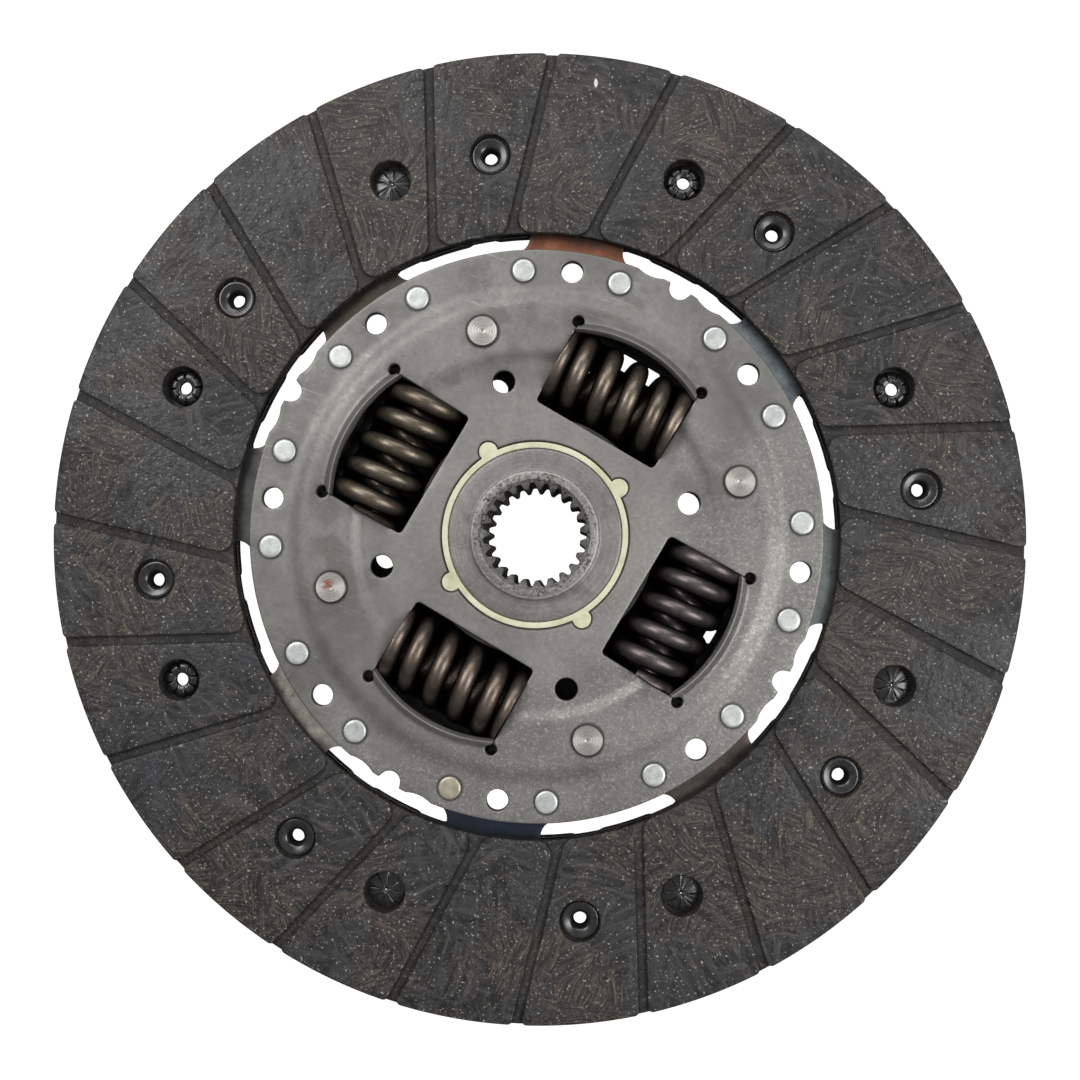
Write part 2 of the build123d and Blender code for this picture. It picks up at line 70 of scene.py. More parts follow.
# ------------------------------------------------------------------ mesh helpers
class Mesh:
    """Collects vertices (mm) and faces for one object."""

    def __init__(self):
        self.v, self.f, self.m, self.n = [], [], [], 0

    def add(self, verts, faces, mat=0):
        base = self.n
        self.v.append(np.asarray(verts, float).reshape(-1, 3))
        self.n += len(self.v[-1])
        self.f += [tuple(int(i) + base for i in f) for f in faces]
        self.m += [mat] * len(faces)
        return base

    def merge(self, other, xf=None, mat=None):
        v = np.vstack(other.v)
        if xf is not None:
            v = xf(v)
        base = self.n
        self.v.append(v)
        self.n += len(v)
        self.f += [tuple(i + base for i in f) for f in other.f]
        self.m += other.m if mat is None else [mat] * len(other.f)


def place(mesh, name, body, mats, replaces=(), angle=30.0):
    v = np.vstack(mesh.v) * MM
    me = bpy.data.meshes.new(name)
    me.from_pydata(v.tolist(), [], mesh.f)
    me.validate(verbose=False)
    me.update()
    for m in mats:
        me.materials.append(m)
    if len(mats) > 1:
        me.polygons.foreach_set("material_index", mesh.m[: len(me.polygons)])
    me.shade_smooth()
    me.set_sharp_from_angle(angle=angle * RAD)
    o = bpy.data.objects.new(name, me)
    bpy.context.scene.collection.objects.link(o)
    if replaces:
        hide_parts(*replaces)
    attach(o, body)
    return o


def rot2(p, deg):
    c, s = math.cos(deg * RAD), math.sin(deg * RAD)
    p = np.asarray(p, float)
    out = p.copy()
    out[:, 0] = p[:, 0] * c - p[:, 1] * s
    out[:, 1] = p[:, 0] * s + p[:, 1] * c
    return out


def circle(r, n, at=(0, 0), phase=0.0):
    a = (np.arange(n) / n) * 2 * math.pi + phase
    return np.c_[at[0] + r * np.cos(a), at[1] + r * np.sin(a)]


def polar(r, deg):
    return (r * math.cos(deg * RAD), r * math.sin(deg * RAD))


def arc(cx, cy, r, a0, a1, step=0.35):
    """Points on an arc, about step mm apart, both ends in (degrees)."""
    n = max(2, int(abs(a1 - a0) * RAD * r / step) + 1)
    a = np.linspace(a0, a1, n) * RAD
    return np.c_[cx + r * np.cos(a), cy + r * np.sin(a)]


def dense(loop, step):
    """Adds points along the straight runs of a loop."""
    out = []
    for i in range(len(loop)):
        p, q = loop[i], loop[(i + 1) % len(loop)]
        n = max(1, int(np.hypot(*(q - p)) / step))
        for k in range(n):
            out.append(p + (q - p) * k / n)
    return np.array(out)


def clean(loop, eps=1e-4):
    keep = [0]
    for i in range(1, len(loop)):
        if np.hypot(*(loop[i] - loop[keep[-1]])) > eps:
            keep.append(i)
    if np.hypot(*(loop[keep[-1]] - loop[0])) <= eps:
        keep.pop()
    return loop[keep]


def signed(loop):
    x, y = loop[:, 0], loop[:, 1]
    return 0.5 * float(np.sum(x * np.roll(y, -1) - np.roll(x, -1) * y))


def oriented(loop, ccw=True):
    loop = clean(np.asarray(loop, float))
    return loop if (signed(loop) > 0) == ccw else loop[::-1].copy()


def inset(loop, d):
    """Moves a loop towards its left by d."""
    if d == 0:
        return loop.copy()
    t = np.roll(loop, -1, 0) - loop
    t /= np.maximum(np.hypot(t[:, 0], t[:, 1]), 1e-9)[:, None]
    n = np.c_[-t[:, 1], t[:, 0]]
    m = n + np.roll(n, 1, 0)
    m /= np.maximum(np.hypot(m[:, 0], m[:, 1]), 1e-9)[:, None]
    c = np.clip((m * n).sum(1), 0.5, 1.0)
    return loop + m * (d / c)[:, None]


def inside(points, loops):
    """Even-odd test of points against all the loops."""
    x, y = points[:, 0], points[:, 1]
    odd = np.zeros(len(points), bool)
    for lp in loops:
        a, b = lp, np.roll(lp, -1, 0)
        for s in range(0, len(a), 400):
            ax, ay = a[s:s + 400, 0], a[s:s + 400, 1]
            bx, by = b[s:s + 400, 0], b[s:s + 400, 1]
            for c in range(0, len(x), 20000):
                xs, ys = x[c:c + 20000, None], y[c:c + 20000, None]
                hit = (ay > ys) != (by > ys)
                xc = (bx - ax) * (ys - ay) / np.where(by == ay, 1e-12, by - ay) + ax
                odd[c:c + 20000] ^= ((hit & (xs < xc)).sum(1) % 2).astype(bool)
    return odd


def clear_of(points, loops, gap):
    """Keeps the points that are at least gap from every loop vertex."""
    allp = np.vstack(loops)
    keep = np.ones(len(points), bool)
    for s in range(0, len(points), 4000):
        p = points[s:s + 4000]
        d = ((p[:, None, 0] - allp[None, :, 0]) ** 2 + (p[:, None, 1] - allp[None, :, 1]) ** 2).min(1)
        keep[s:s + 4000] = d > gap * gap
    return points[keep]


def cap(loops, pts):
    """Triangulates the region between the loops. Returns (points, triangles); the loops' points come first."""
    verts = [p for lp in loops for p in lp]
    edges, base = [], 0
    for lp in loops:
        n = len(lp)
        edges += [(base + i, base + (i + 1) % n) for i in range(n)]
        base += n
    n_loop = base
    co = [Vector((float(p[0]), float(p[1]))) for p in verts] + [Vector((float(p[0]), float(p[1]))) for p in pts]
    out = delaunay_2d_cdt(co, edges, [], 0, 1e-7, True)
    ov = np.array([(c[0], c[1]) for c in out[0]])
    origin = out[3]
    where = np.full(len(ov), -1)
    for i, o in enumerate(origin):
        if len(o):
            where[i] = min(o)
    tri = np.array([list(f) for f in out[2]], int)
    cen = ov[tri].mean(1)
    tri = tri[inside(cen, loops)]
    # back to the caller's numbering
    extra = {}
    pts_out = [tuple(c) for c in np.vstack(loops)] + [tuple(c) for c in pts]
    remap = np.empty(len(ov), int)
    for i in range(len(ov)):
        if where[i] >= 0:
            remap[i] = where[i]
        else:
            remap[i] = len(pts_out)
            pts_out.append(tuple(ov[i]))
    tri = remap[tri]
    p = np.array(pts_out)
    a, b, c = p[tri[:, 0]], p[tri[:, 1]], p[tri[:, 2]]
    area = (b[:, 0] - a[:, 0]) * (c[:, 1] - a[:, 1]) - (b[:, 1] - a[:, 1]) * (c[:, 0] - a[:, 0])
    tri = np.where((area < 0)[:, None], tri[:, ::-1], tri)
    tri = tri[np.abs(area) > 1e-9]
    return p, tri, n_loop


def plan_solid(loops, z0, z1, er=0.25, steps=3, pts=None, warp=None, er_bottom=None, mid=0):
    """A plate of the given outline with rounded edges. The first loop is the outside, the rest are holes.
    warp(xy, t) gives the final x, y, z of points at the share t (0 bottom, 1 top) of the thickness."""
    loops = [oriented(loops[0], True)] + [oriented(l, False) for l in loops[1:]]
    T = z1 - z0
    eb = er if er_bottom is None else er_bottom
    if pts is None:
        pts = np.zeros((0, 2))
    levels = []
    for i in range(steps + 1):
        a = math.pi / 2 * i / steps
        levels.append((eb * (1 - math.sin(a)), eb * (1 - math.cos(a))))
    for i in range(mid):
        levels.append((0.0, eb + (T - er - eb) * (i + 1) / (mid + 1)))
    for i in range(steps + 1):
        a = math.pi / 2 * i / steps
        levels.append((er * (1 - math.cos(a)), T - er * (1 - math.sin(a))))
    out = Mesh()
    counts = [len(l) for l in loops]
    n = sum(counts)
    xy, h = [], []
    for d, z in levels:
        xy += [inset(l, d) for l in loops]
        h += [np.full(n, z)]
    xy, h = np.vstack(xy), np.concatenate(h)
    faces = []
    for k in range(len(levels) - 1):
        base = 0
        for c in counts:
            for i in range(c):
                j = (i + 1) % c
                a0, a1 = k * n + base + i, k * n + base + j
                b0, b1 = a0 + n, a1 + n
                faces.append((a0, a1, b1, b0))
            base += c
    top = [inset(l, er) for l in loops]
    p, tri, nl = cap(top, pts)
    start_top = (len(levels) - 1) * n
    ids = np.arange(len(p))
    ids[nl:] = len(xy) + np.arange(len(p) - nl)
    ids[:nl] += start_top
    extra = p[nl:]
    faces += [tuple(ids[t]) for t in tri]
    ids_b = np.arange(len(p))
    ids_b[nl:] = len(xy) + len(extra) + np.arange(len(p) - nl)
    faces += [tuple(ids_b[t][::-1]) for t in tri]
    xy = np.vstack([xy, extra, extra])
    h = np.concatenate([h, np.full(len(extra), T), np.zeros(len(extra))])
    if warp is None:
        v = np.c_[xy, z0 + h]
    else:
        v = warp(xy, h / T)
    out.add(v, faces)
    return out


def lathe(profile, n=96, at=(0, 0), closed=True, phase=0.0):
    """Surface of revolution. The profile runs with the material on its left, seen with radius to the right."""
    prof = np.asarray(profile, float)
    a = np.arange(n) / n * 2 * math.pi + phase
    verts, faces = [], []
    rows = []
    for r, z in prof:
        if r <= 1e-6:
            rows.append([len(verts)])
            verts.append((at[0], at[1], z))
        else:
            rows.append(list(range(len(verts), len(verts) + n)))
            verts += [(at[0] + r * math.cos(t), at[1] + r * math.sin(t), z) for t in a]
    m = len(rows)
    for k in range(m if closed else m - 1):
        p, q = rows[k], rows[(k + 1) % m]
        if len(p) == 1 and len(q) == 1:
            continue
        for i in range(n):
            j = (i + 1) % n
            if len(p) == 1:
                faces.append((p[0], q[j], q[i]))
            elif len(q) == 1:
                faces.append((p[i], p[j], q[0]))
            else:
                faces.append((p[i], p[j], q[j], q[i]))
    out = Mesh()
    out.add(verts, faces)
    return out


def rounded(profile, radii, n=4, most=0.49):
    """Rounds the corners of a closed profile polygon."""
    pts = np.asarray(profile, float)
    out = []
    m = len(pts)
    for i in range(m):
        r = radii.get(i, 0) if isinstance(radii, dict) else radii
        p, a, b = pts[i], pts[i - 1], pts[(i + 1) % m]
        if r <= 0:
            out.append(p)
            continue
        u, w = a - p, b - p
        lu, lw = np.hypot(*u), np.hypot(*w)
        u, w = u / lu, w / lw
        cosang = float(np.clip(u @ w, -1, 1))
        half = math.acos(cosang) / 2
        d = min(r / math.tan(half), most * lu, most * lw)
        rr = d * math.tan(half)
        bis = (u + w) / np.hypot(*(u + w))
        c = p + bis * (rr / math.sin(half))
        s0, s1 = p + u * d, p + w * d
        a0 = math.atan2(*(s0 - c)[::-1])
        a1 = math.atan2(*(s1 - c)[::-1])
        da = (a1 - a0 + math.pi) % (2 * math.pi) - math.pi
        for k in range(n + 1):
            t = a0 + da * k / n
            out.append(c + rr * np.array([math.cos(t), math.sin(t)]))
    return np.array(out)


def smooth(x, a, b):
    t = np.clip((x - a) / (b - a), 0, 1)
    return t * t * (3 - 2 * t)


# ------------------------------------------------------------------ stamped plates
def window_loop(k):
    e = RELIEF
    dx1 = math.sqrt(e[2] ** 2 - 0.35 ** 2)
    dx2 = math.sqrt(e[2] ** 2 - 0.70 ** 2)
    a1 = math.degrees(math.atan2(0.35, -dx1))
    a2 = math.degrees(math.atan2(0.70, -dx2))
    ue = WIN_U1 - 0.35
    ve = LIP_C + math.sqrt(LIP_R ** 2 - ue ** 2)
    half = math.degrees(math.asin(ue / LIP_R))
    rc = 1.1
    low = [np.array([[WIN_V0 + rc, -WIN_U0]]), np.array([[e[0] - dx1, -WIN_U1]]),
           arc(e[0], -e[1], e[2], a1, a2 + 360, 0.3)[1:-1], np.array([[e[0] - dx2, -ue]]),
           arc(LIP_C, 0, LIP_R, -half, half, 0.4),
           np.array([[e[0] - dx2, ue]]), arc(e[0], e[1], e[2], -a2, 360 - a1, 0.3)[1:-1],
           np.array([[e[0] - dx1, WIN_U1]]), np.array([[WIN_V0 + rc, WIN_U0]]),
           arc(WIN_V0 + rc, WIN_U0 - rc, rc, 90, 180, 0.25)[1:],
           arc(WIN_V0 + rc, -WIN_U0 + rc, rc, 180, 270, 0.25)[:-1]]
    p = clean(np.vstack(low))
    return rot2(dense(p, 0.8), WIN_PHASE + 90 * k)


def lip_field(xy):
    """(share of the lip, direction away from the lip's centre, end falloff) at each point."""
    w = np.zeros(len(xy))
    out = np.zeros_like(xy)
    for k in range(4):
        q = rot2(xy, -(WIN_PHASE + 90 * k))
        d = np.c_[q[:, 0] - LIP_C, q[:, 1]]
        rho = np.hypot(d[:, 0], d[:, 1])
        s = rho - LIP_R
        ok = (np.abs(q[:, 1]) < 17.08) & (q[:, 0] > 40) & (s > -0.6) & (s < 3.6)
        x = s - 2.4
        bend = np.where(x < -0.45, 0.0, np.where(x > 0.45, x, (x + 0.45) ** 2 / 1.8))
        share = np.clip(1 - (np.maximum(s, 0) - bend) / 2.4, 0, 1) * (1 - 0.22 * (q[:, 1] / 17.0) ** 2)
        w = np.where(ok, share, w)
        dirs = rot2(d / np.maximum(rho, 1e-6)[:, None], WIN_PHASE + 90 * k)
        out = np.where(ok[:, None], dirs, out)
    return w, out


def bead_z(r):
    return BEAD_H * smooth(r, BEAD[0], BEAD[1] + 0.6) * (1 - smooth(r, BEAD[2] - 0.6, BEAD[3] + 0.6))


LIP_RISE = 1.75


def front_warp(xy, t):
    r = np.hypot(xy[:, 0], xy[:, 1])
    w, d = lip_field(xy)
    z = PLATE_Z0 + bead_z(r) + LIP_RISE * w + PLATE_T * t * (1 - 0.12 * w)
    p = xy + d * (0.85 * w * t)[:, None]
    return np.c_[p, z]


RET_DISH = 2.4
HOOD_R, HOOD_T = 12.2, 1.8
HOOD_HALF, HOOD_SLOT_V, HOOD_SLOT_HALF = 16.95, (41.6, 44.4), 14.5
HOOD_PORTS = ((0, -6.3, 4.6, 48.4), (3, -1.3, 2.8, 50.0))
HOOD_PORT_V = 52.15


def rear_warp(xy, t):
    r = np.hypot(xy[:, 0], xy[:, 1])
    bead = BEAD_H * smooth(r, BEAD[0], BEAD[1] + 0.6)
    dish = RET_DISH * (1 - smooth(r, 26.0, 30.5))
    flat = PLATE_Z0 + bead + dish + PLATE_T * t
    z = flat.copy()
    for k in range(4):
        q = rot2(xy, -(WIN_PHASE + 90 * k))
        dv = np.abs(q[:, 0] - 40.5)
        rr = HOOD_R + HOOD_T * t
        hood = SPR_Z + np.sqrt(np.maximum(rr ** 2 - np.minimum(dv, rr) ** 2, 0.0))
        on = (np.abs(q[:, 1]) < HOOD_HALF + HOOD_T * t + 0.02) & (q[:, 0] > 0) & (dv < 13.2)
        # the drawn sheet meets the flat one in a small radius
        g = hood - flat
        soft = flat + 0.5 * (g + np.sqrt(g * g + 0.09))
        z = np.where(on, soft, z)
    return np.c_[xy, z]


def half_turn(v, phase):
    """Turns points half round about the in-plane axis at phase and the spring plane."""
    a = np.array([math.cos(phase * RAD), math.sin(phase * RAD)])
    xy = v[:, :2]
    out = 2 * (xy @ a)[:, None] * a[None, :] - xy
    return np.c_[out, 2 * SPR_Z - v[:, 2]]


def polar_points(r0, r1, step):
    pts = []
    n = int((r1 - r0) / step)
    for i in range(n + 1):
        r = r0 + (r1 - r0) * i / n
        m = max(8, int(2 * math.pi * r / step))
        a = (np.arange(m) + 0.5 * (i % 2)) / m * 2 * math.pi
        pts.append(np.c_[r * np.cos(a), r * np.sin(a)])
    return np.vstack(pts)


def lip_points():
    pts = []
    for s in (0.45, 0.9, 1.35, 1.8, 2.25, 2.7, 3.15, 3.6):
        for k in range(4):
            p = arc(LIP_C, 0, LIP_R + s, -26.5, 26.5, 0.7)
            pts.append(rot2(p, WIN_PHASE + 90 * k))
    return np.vstack(pts)


def disc_plate_mesh():
    # rim with a half-round notch and shallow dips in four of the gaps
    th = np.arange(0, 360, 0.25)
    r = np.full(len(th), PLATE_R)
    for k in range(4):
        g = WIN_PHASE + 90 * k
        for off, c, rad in ((0, 70.9, 2.7), (6.6, PLATE_R + 8.25, 9.0), (-6.6, PLATE_R + 8.25, 9.0)):
            d = ((th - g - off + 180) % 360 - 180) * RAD
            disc = rad ** 2 - (c * np.sin(d)) ** 2
            hit = (disc > 0) & (np.abs(d) < 0.3)
            rr = c * np.cos(d) - np.sqrt(np.maximum(disc, 0))
            r = np.where(hit, np.minimum(r, rr), r)
    outer = np.c_[r * np.cos(th * RAD), r * np.sin(th * RAD)]
    # opening round the bush, with lug pockets
    rb, rl, cl = 23.27, 2.45, 23.8
    loop = []
    half = math.degrees(math.acos((rb ** 2 + cl ** 2 - rl ** 2) / (2 * rb * cl)))
    for k in range(4):
        a = 29.2 + 90 * k
        c = polar(cl, a)
        pin = np.array(polar(rb, a - half)) - c
        pout = np.array(polar(rb, a + half)) - c
        b0, b1 = math.degrees(math.atan2(pin[1], pin[0])), math.degrees(math.atan2(pout[1], pout[0]))
        while b1 < b0:
            b1 += 360
        loop.append(arc(c[0], c[1], rl, b0, b1, 0.25))
        loop.append(arc(0, 0, rb, a + half, a + 90 - half, 0.5)[1:-1])
    loops = [outer, np.vstack(loop)]
    for k in range(4):
        loops.append(window_loop(k))
        loops.append(circle(IH_R, 40, polar(IH_PCR, IH_PHASE + 90 * k)))
        loops.append(circle(3.4, 40, polar(PIN_PCR, PIN_PHASE + 90 * k)))
    for k in range(8):
        a = SEG_PHASE + 45 * k
        loops.append(circle(2.7, 44, polar(66.1, a)))
        for s in (-1, 1):
            loops.append(circle(1.8, 28, polar(CR_PCR, a + s * CR_OFF)))
    loops = [oriented(loops[0], True)] + [oriented(l, False) for l in loops[1:]]
    pts = np.vstack([polar_points(24.5, 70.4, 1.0), lip_points()])
    pts = pts[inside(pts, loops)]
    pts = clear_of(pts, loops, 0.55)
    return plan_solid(loops, 0, PLATE_T, er=0.3, steps=3, pts=pts, warp=front_warp, er_bottom=0.12)


RET_HOLES = ((0.3, 0.0, 3.3), (0.0, 3.5, 2.8), (0.0, -3.5, 2.8), (0.0, 0.0, 0.0))


def hood_opening(k):
    (v0, v1), h = HOOD_SLOT_V, HOOD_SLOT_HALF
    p = np.array(rounded([(v0, -h), (v1, -h), (v1, h), (v0, h)], 1.2, 6))
    return rot2(dense(p, 0.8), WIN_PHASE + 90 * k)


def retainer_mesh():
    axis = np.array([math.cos(WIN_PHASE * RAD), math.sin(WIN_PHASE * RAD)])
    loops = [circle(61.0, 480), circle(18.6, 160)]
    for k in range(4):
        loops.append(hood_opening(k))
        loops.append(circle(3.4, 40, polar(PIN_PCR, -(PIN_PHASE + 90 * k) + 2 * WIN_PHASE)))
    for k, (dr, da, rr) in enumerate(RET_HOLES):
        if rr:
            loops.append(circle(rr, 40, polar(IH_PCR + dr, 2 * WIN_PHASE - (IH_PHASE + 90 * k + da))))
    v1 = HOOD_PORT_V
    for k, u0, u1, v0 in HOOD_PORTS:
        p = rot2(dense(np.array(rounded([(v0, u0), (v1, u0), (v1, u1), (v0, u1)], 0.5)), 0.6), WIN_PHASE + 90 * k)
        loops.append(2 * (p @ axis)[:, None] * axis[None, :] - p)
    loops = [oriented(loops[0], True)] + [oriented(l, False) for l in loops[1:]]
    pts = [polar_points(19.6, 60.2, 1.3)]
    for k in range(4):
        gv = np.r_[np.arange(27.6, 33.0, 0.45), np.arange(33.5, 48.0, 1.0), np.arange(48.2, 53.6, 0.45)]
        gu = np.r_[-18.9, -18.6, -17.05, -16.85, np.arange(-16.0, 16.1, 1.0), 16.85, 17.05, 18.6, 18.9]
        pts.append(rot2(np.array([(v, u) for v in gv for u in gu]), WIN_PHASE + 90 * k))
    pts = np.vstack(pts)
    pts = pts[inside(pts, loops)]
    pts = clear_of(pts, loops, 0.35)
    m = plan_solid(loops, 0, PLATE_T, er=0.18, steps=3, pts=pts, warp=rear_warp, er_bottom=0.1)
    out = Mesh()
    out.merge(m, lambda v: half_turn(v, WIN_PHASE))
    return out


# ------------------------------------------------------------------ cushion segments
def wave_z(y):
    a = np.abs(y)
    up = smooth(a, 15.6, 18.9)
    down = 1 - (1 - 0.12 / 0.34) * smooth(a, 29.7, 46.0)
    return np.sign(y) * 0.34 * up * down


def segment_mesh(k):
    fr, fo, nh, fh, ph = 61.5, 71.0, 9.1, 13.6, 21.2
    pi_, po = 77.5, 117.0

    def side(sign):
        """Outline of one side from the foot's inner end to the paddle's outer end."""
        out = []

        def rl(r, deg):
            return np.array(polar(r, sign * deg))

        # corners as (point, fillet radius)
        return [(rl(fr, fh), 1.2), (rl(fo, fh), 1.2), (rl(fo, nh), 4.0), (rl(pi_, nh), 2.0),
                (rl(pi_, ph), 1.2), (rl(po, ph), 1.2)]

    right, left = side(-1), side(1)
    corners = right + left[::-1]
    pts = np.array([c[0] for c in corners])
    rad = {i: c[1] for i, c in enumerate(corners)}
    out = rounded(pts, rad, 6, 0.76)
    # long chords that should be arcs about the hub axis
    res = []
    n = len(out)
    for i in range(n):
        p, q = out[i], out[(i + 1) % n]
        rp, rq = np.hypot(*p), np.hypot(*q)
        length = np.hypot(*(q - p))
        res.append(p)
        if length > 1.5:
            m = int(length / 1.0)
            ap, aq = math.atan2(p[1], p[0]), math.atan2(q[1], q[0])
            for j in range(1, m):
                t = j / m
                if abs(rp - rq) < 1.2:
                    a = ap + (aq - ap) * t
                    r = rp + (rq - rp) * t
                    res.append(np.array([r * math.cos(a), r * math.sin(a)]))
                else:
                    res.append(p + (q - p) * t)
    loops = [oriented(np.array(res), True), circle(2.7, 36, (66.1, 0))]
    for s in (-1, 1):
        loops.append(circle(1.8, 24, polar(CR_PCR, s * CR_OFF)))
        loops.append(circle(2.45, 32, polar(FR_PCR, s * FR_OFF)))
    loops = [oriented(loops[0], True)] + [oriented(l, False) for l in loops[1:]]
    gx, gy = np.meshgrid(np.arange(62, 117, 2.0), np.arange(-44, 44.1, 1.5))
    pts = np.c_[gx.ravel(), gy.ravel()]
    pts = pts[inside(pts, loops)]
    pts = clear_of(pts, loops, 0.7)
    a = SEG_PHASE + 45 * k

    def warp(xy, t):
        z = wave_z(xy[:, 1]) + 0.7 * (t - 0.5)
        return np.c_[rot2(xy, a), z]

    return plan_solid(loops, 0, 0.7, er=0.12, steps=2, pts=pts, warp=warp)


# ------------------------------------------------------------------ linings
def pad_loop(k, ro=120.0, ri=75.0, w=2.2, d=23.4, rfo=1.2, rfi=3.4):
    phi = 1.55 + 15 * k
    lo, hi = d + w / 2, d - w / 2
    step = 15.0

    def corner(c, sgn, R, outer):
        """Fillet centre, point on the line, point on the circle, in the groove's own frame."""
        cy = c + sgn * R
        rr = (ro - R) if outer else (ri + R)
        cx = math.sqrt(rr ** 2 - cy ** 2)
        tgt = ro if outer else ri
        return np.array([cx, cy]), np.array([cx, c]), np.array([cx, cy]) * tgt / rr

    def arc_pts(c, p, q, n=8):
        a0 = math.atan2(*(p - c)[::-1])
        a1 = math.atan2(*(q - c)[::-1])
        da = (a1 - a0 + math.pi) % (2 * math.pi) - math.pi
        r = np.hypot(*(p - c))
        t = a0 + da * np.linspace(0, 1, n + 1)
        return np.c_[c[0] + r * np.cos(t), c[1] + r * np.sin(t)]

    ci, pi_, qi = corner(lo, 1, rfi, False)
    co, po, qo = corner(lo, 1, rfo, True)
    ci2, pi2, qi2 = corner(hi, -1, rfi, False)
    co2, po2, qo2 = corner(hi, -1, rfo, True)
    low = [arc_pts(ci, qi, pi_), arc_pts(co, po, qo)]
    up = [arc_pts(co2, qo2, po2), arc_pts(ci2, pi2, qi2)]
    lowr = [rot2(a, 0) for a in low]
    upr = [rot2(a, step) for a in up]
    a0 = math.degrees(math.atan2(lowr[1][-1][1], lowr[1][-1][0]))
    a1 = math.degrees(math.atan2(upr[0][0][1], upr[0][0][0]))
    b1 = math.degrees(math.atan2(upr[1][-1][1], upr[1][-1][0]))
    b0 = math.degrees(math.atan2(lowr[0][0][1], lowr[0][0][0]))
    loop = np.vstack([lowr[0], lowr[1], arc(0, 0, ro, a0, a1, 0.6)[1:-1], upr[0], upr[1],
                      arc(0, 0, ri, b1, b0, 0.6)[1:-1]])
    return rot2(clean(loop), phi)


def facing_mesh():
    z0, z1 = 0.7, 3.9
    out = Mesh()
    holes = []
    for k in range(8):
        c = SEG_PHASE + 45 * k
        holes.append((np.array(polar(FR_PCR, c + FR_OFF)), True))
        holes.append((np.array(polar(FR_PCR, c - FR_OFF)), False))
    for k in range(24):
        lp = oriented(pad_loop(k), True)
        lp = dense(lp, 1.5)
        loops = [lp]
        for c, own in holes:
            if inside(c[None, :], [lp])[0]:
                loops.append(oriented(circle(5.05, 64, c), False))
        gx = polar_points(76, 119, 3.0)
        gx = gx[inside(gx, loops)]
        gx = clear_of(gx, loops, 1.2)
        out.merge(plan_solid(loops, z0, z1, er=0.38, steps=4, er_bottom=0.05, pts=gx))
    loops = [circle(119.85, 900), circle(75.2, 600)]
    for c, own in holes:
        loops.append(circle(5.06, 64, c))
    out.merge(plan_solid(loops, z0, z1 - 1.1, er=0.1, steps=2, er_bottom=0.05))
    for c, own in holes:
        if own:
            out.merge(lathe([(2.45, z0), (5.2, z0), (5.2, z0 + 1.2), (2.45, z0 + 1.2)], 48, c))
    return out


def segment_turn(v):
    a = np.array([math.cos(SEG_PHASE * RAD), math.sin(SEG_PHASE * RAD)])
    xy = v[:, :2]
    out = 2 * (xy @ a)[:, None] * a[None, :] - xy
    return np.c_[out, -v[:, 2]]


# ------------------------------------------------------------------ rivets and pins
def facing_rivet_mesh(seed=0, closed=False):
    """Tubular rivet with its head at +Z and its split, clinched end at -Z, on the Z axis."""
    zs = 1.9
    out = Mesh()
    # head: dished flange, rolled edge, funnel into the tube
    prof = [(2.44, zs), (4.55, zs), (4.72, zs + 0.2), (4.6, zs + 0.5), (4.25, zs + 0.66), (3.8, zs + 0.6),
            (3.2, zs + 0.42), (2.7, zs + 0.3), (2.3, zs + 0.12), (2.0, zs - 0.25), (1.78, zs - 0.8),
            (1.75, 0.2), (1.75, -0.6), (2.44, -0.02)]
    out.merge(lathe(prof, 64))
    # clinched end: eight petals rolled outward over the segment, split by narrow slits
    rng = np.random.default_rng(100 + seed)
    n, rows = 128, 12
    verts, faces = [], []
    curl = rng.uniform(0.96, 1.03, 8)
    lift = rng.uniform(-0.10, 0.12, 8)
    start = rng.uniform(0, 45)
    for side in (0, 1):
        for i in range(rows):
            s = i / (rows - 1)
            for j in range(n):
                th = j * 360.0 / n
                q = th / 45.0
                p = int(q) % 8
                x = abs((q - int(q)) - 0.5) * 2
                slit = math.exp(-((1 - x) / 0.16) ** 2) * float(smooth(s, 0.12, 0.45))
                tip = 4.5 * curl[p] * (1 - 0.10 * slit)
                r0 = 0.18 if closed else 1.55
                r = r0 + (tip - r0) * s
                if closed:
                    z = -1.05 - lift[p] + 0.50 * s ** 1.5 + 0.10 * math.cos(x * math.pi * 0.5) + 0.22 * slit
                    z += 0.35 * math.exp(-(r / 0.5) ** 2)
                else:
                    up = math.sin(math.pi * (0.20 + 0.74 * s)) ** 0.8
                    z = -0.42 - (0.92 + lift[p]) * up + 0.38 * slit
                z += 0.0 if side == 0 else 0.34
                z = min(z, -0.38) if side else min(z, -0.46)
                a = (th + start) * RAD
                verts.append((r * math.cos(a), r * math.sin(a), z))
    for side in (0, 1):
        b = side * rows * n
        for i in range(rows - 1):
            for j in range(n):
                k = (j + 1) % n
                q = (b + i * n + j, b + i * n + k, b + (i + 1) * n + k, b + (i + 1) * n + j)
                faces.append(q[::-1] if side == 0 else q)
    b = rows * n
    for i in (0, rows - 1):
        for j in range(n):
            k = (j + 1) % n
            q = (i * n + j, i * n + k, b + i * n + k, b + i * n + j)
            faces.append(q if i == 0 else q[::-1])
    out.add(verts, faces)
    return out


def facing_rivets_mesh(front):
    out = Mesh()
    # closed (1) and open (0) clinched ends, by segment
    closed = (0, 0, 1, 0, 0, 1, 1, 1)
    for k in range(8):
        one = facing_rivet_mesh(seed=k + (0 if front else 20), closed=bool(closed[k]) and not front)
        a = SEG_PHASE + 45 * k + (FR_OFF if front else -FR_OFF)
        c = polar(FR_PCR, a)
        flip = 1 if front else -1

        def xf(v, c=c, flip=flip):
            return np.c_[v[:, 0] + c[0], v[:, 1] * flip + c[1], v[:, 2] * flip]

        out.merge(one, xf)
    return out


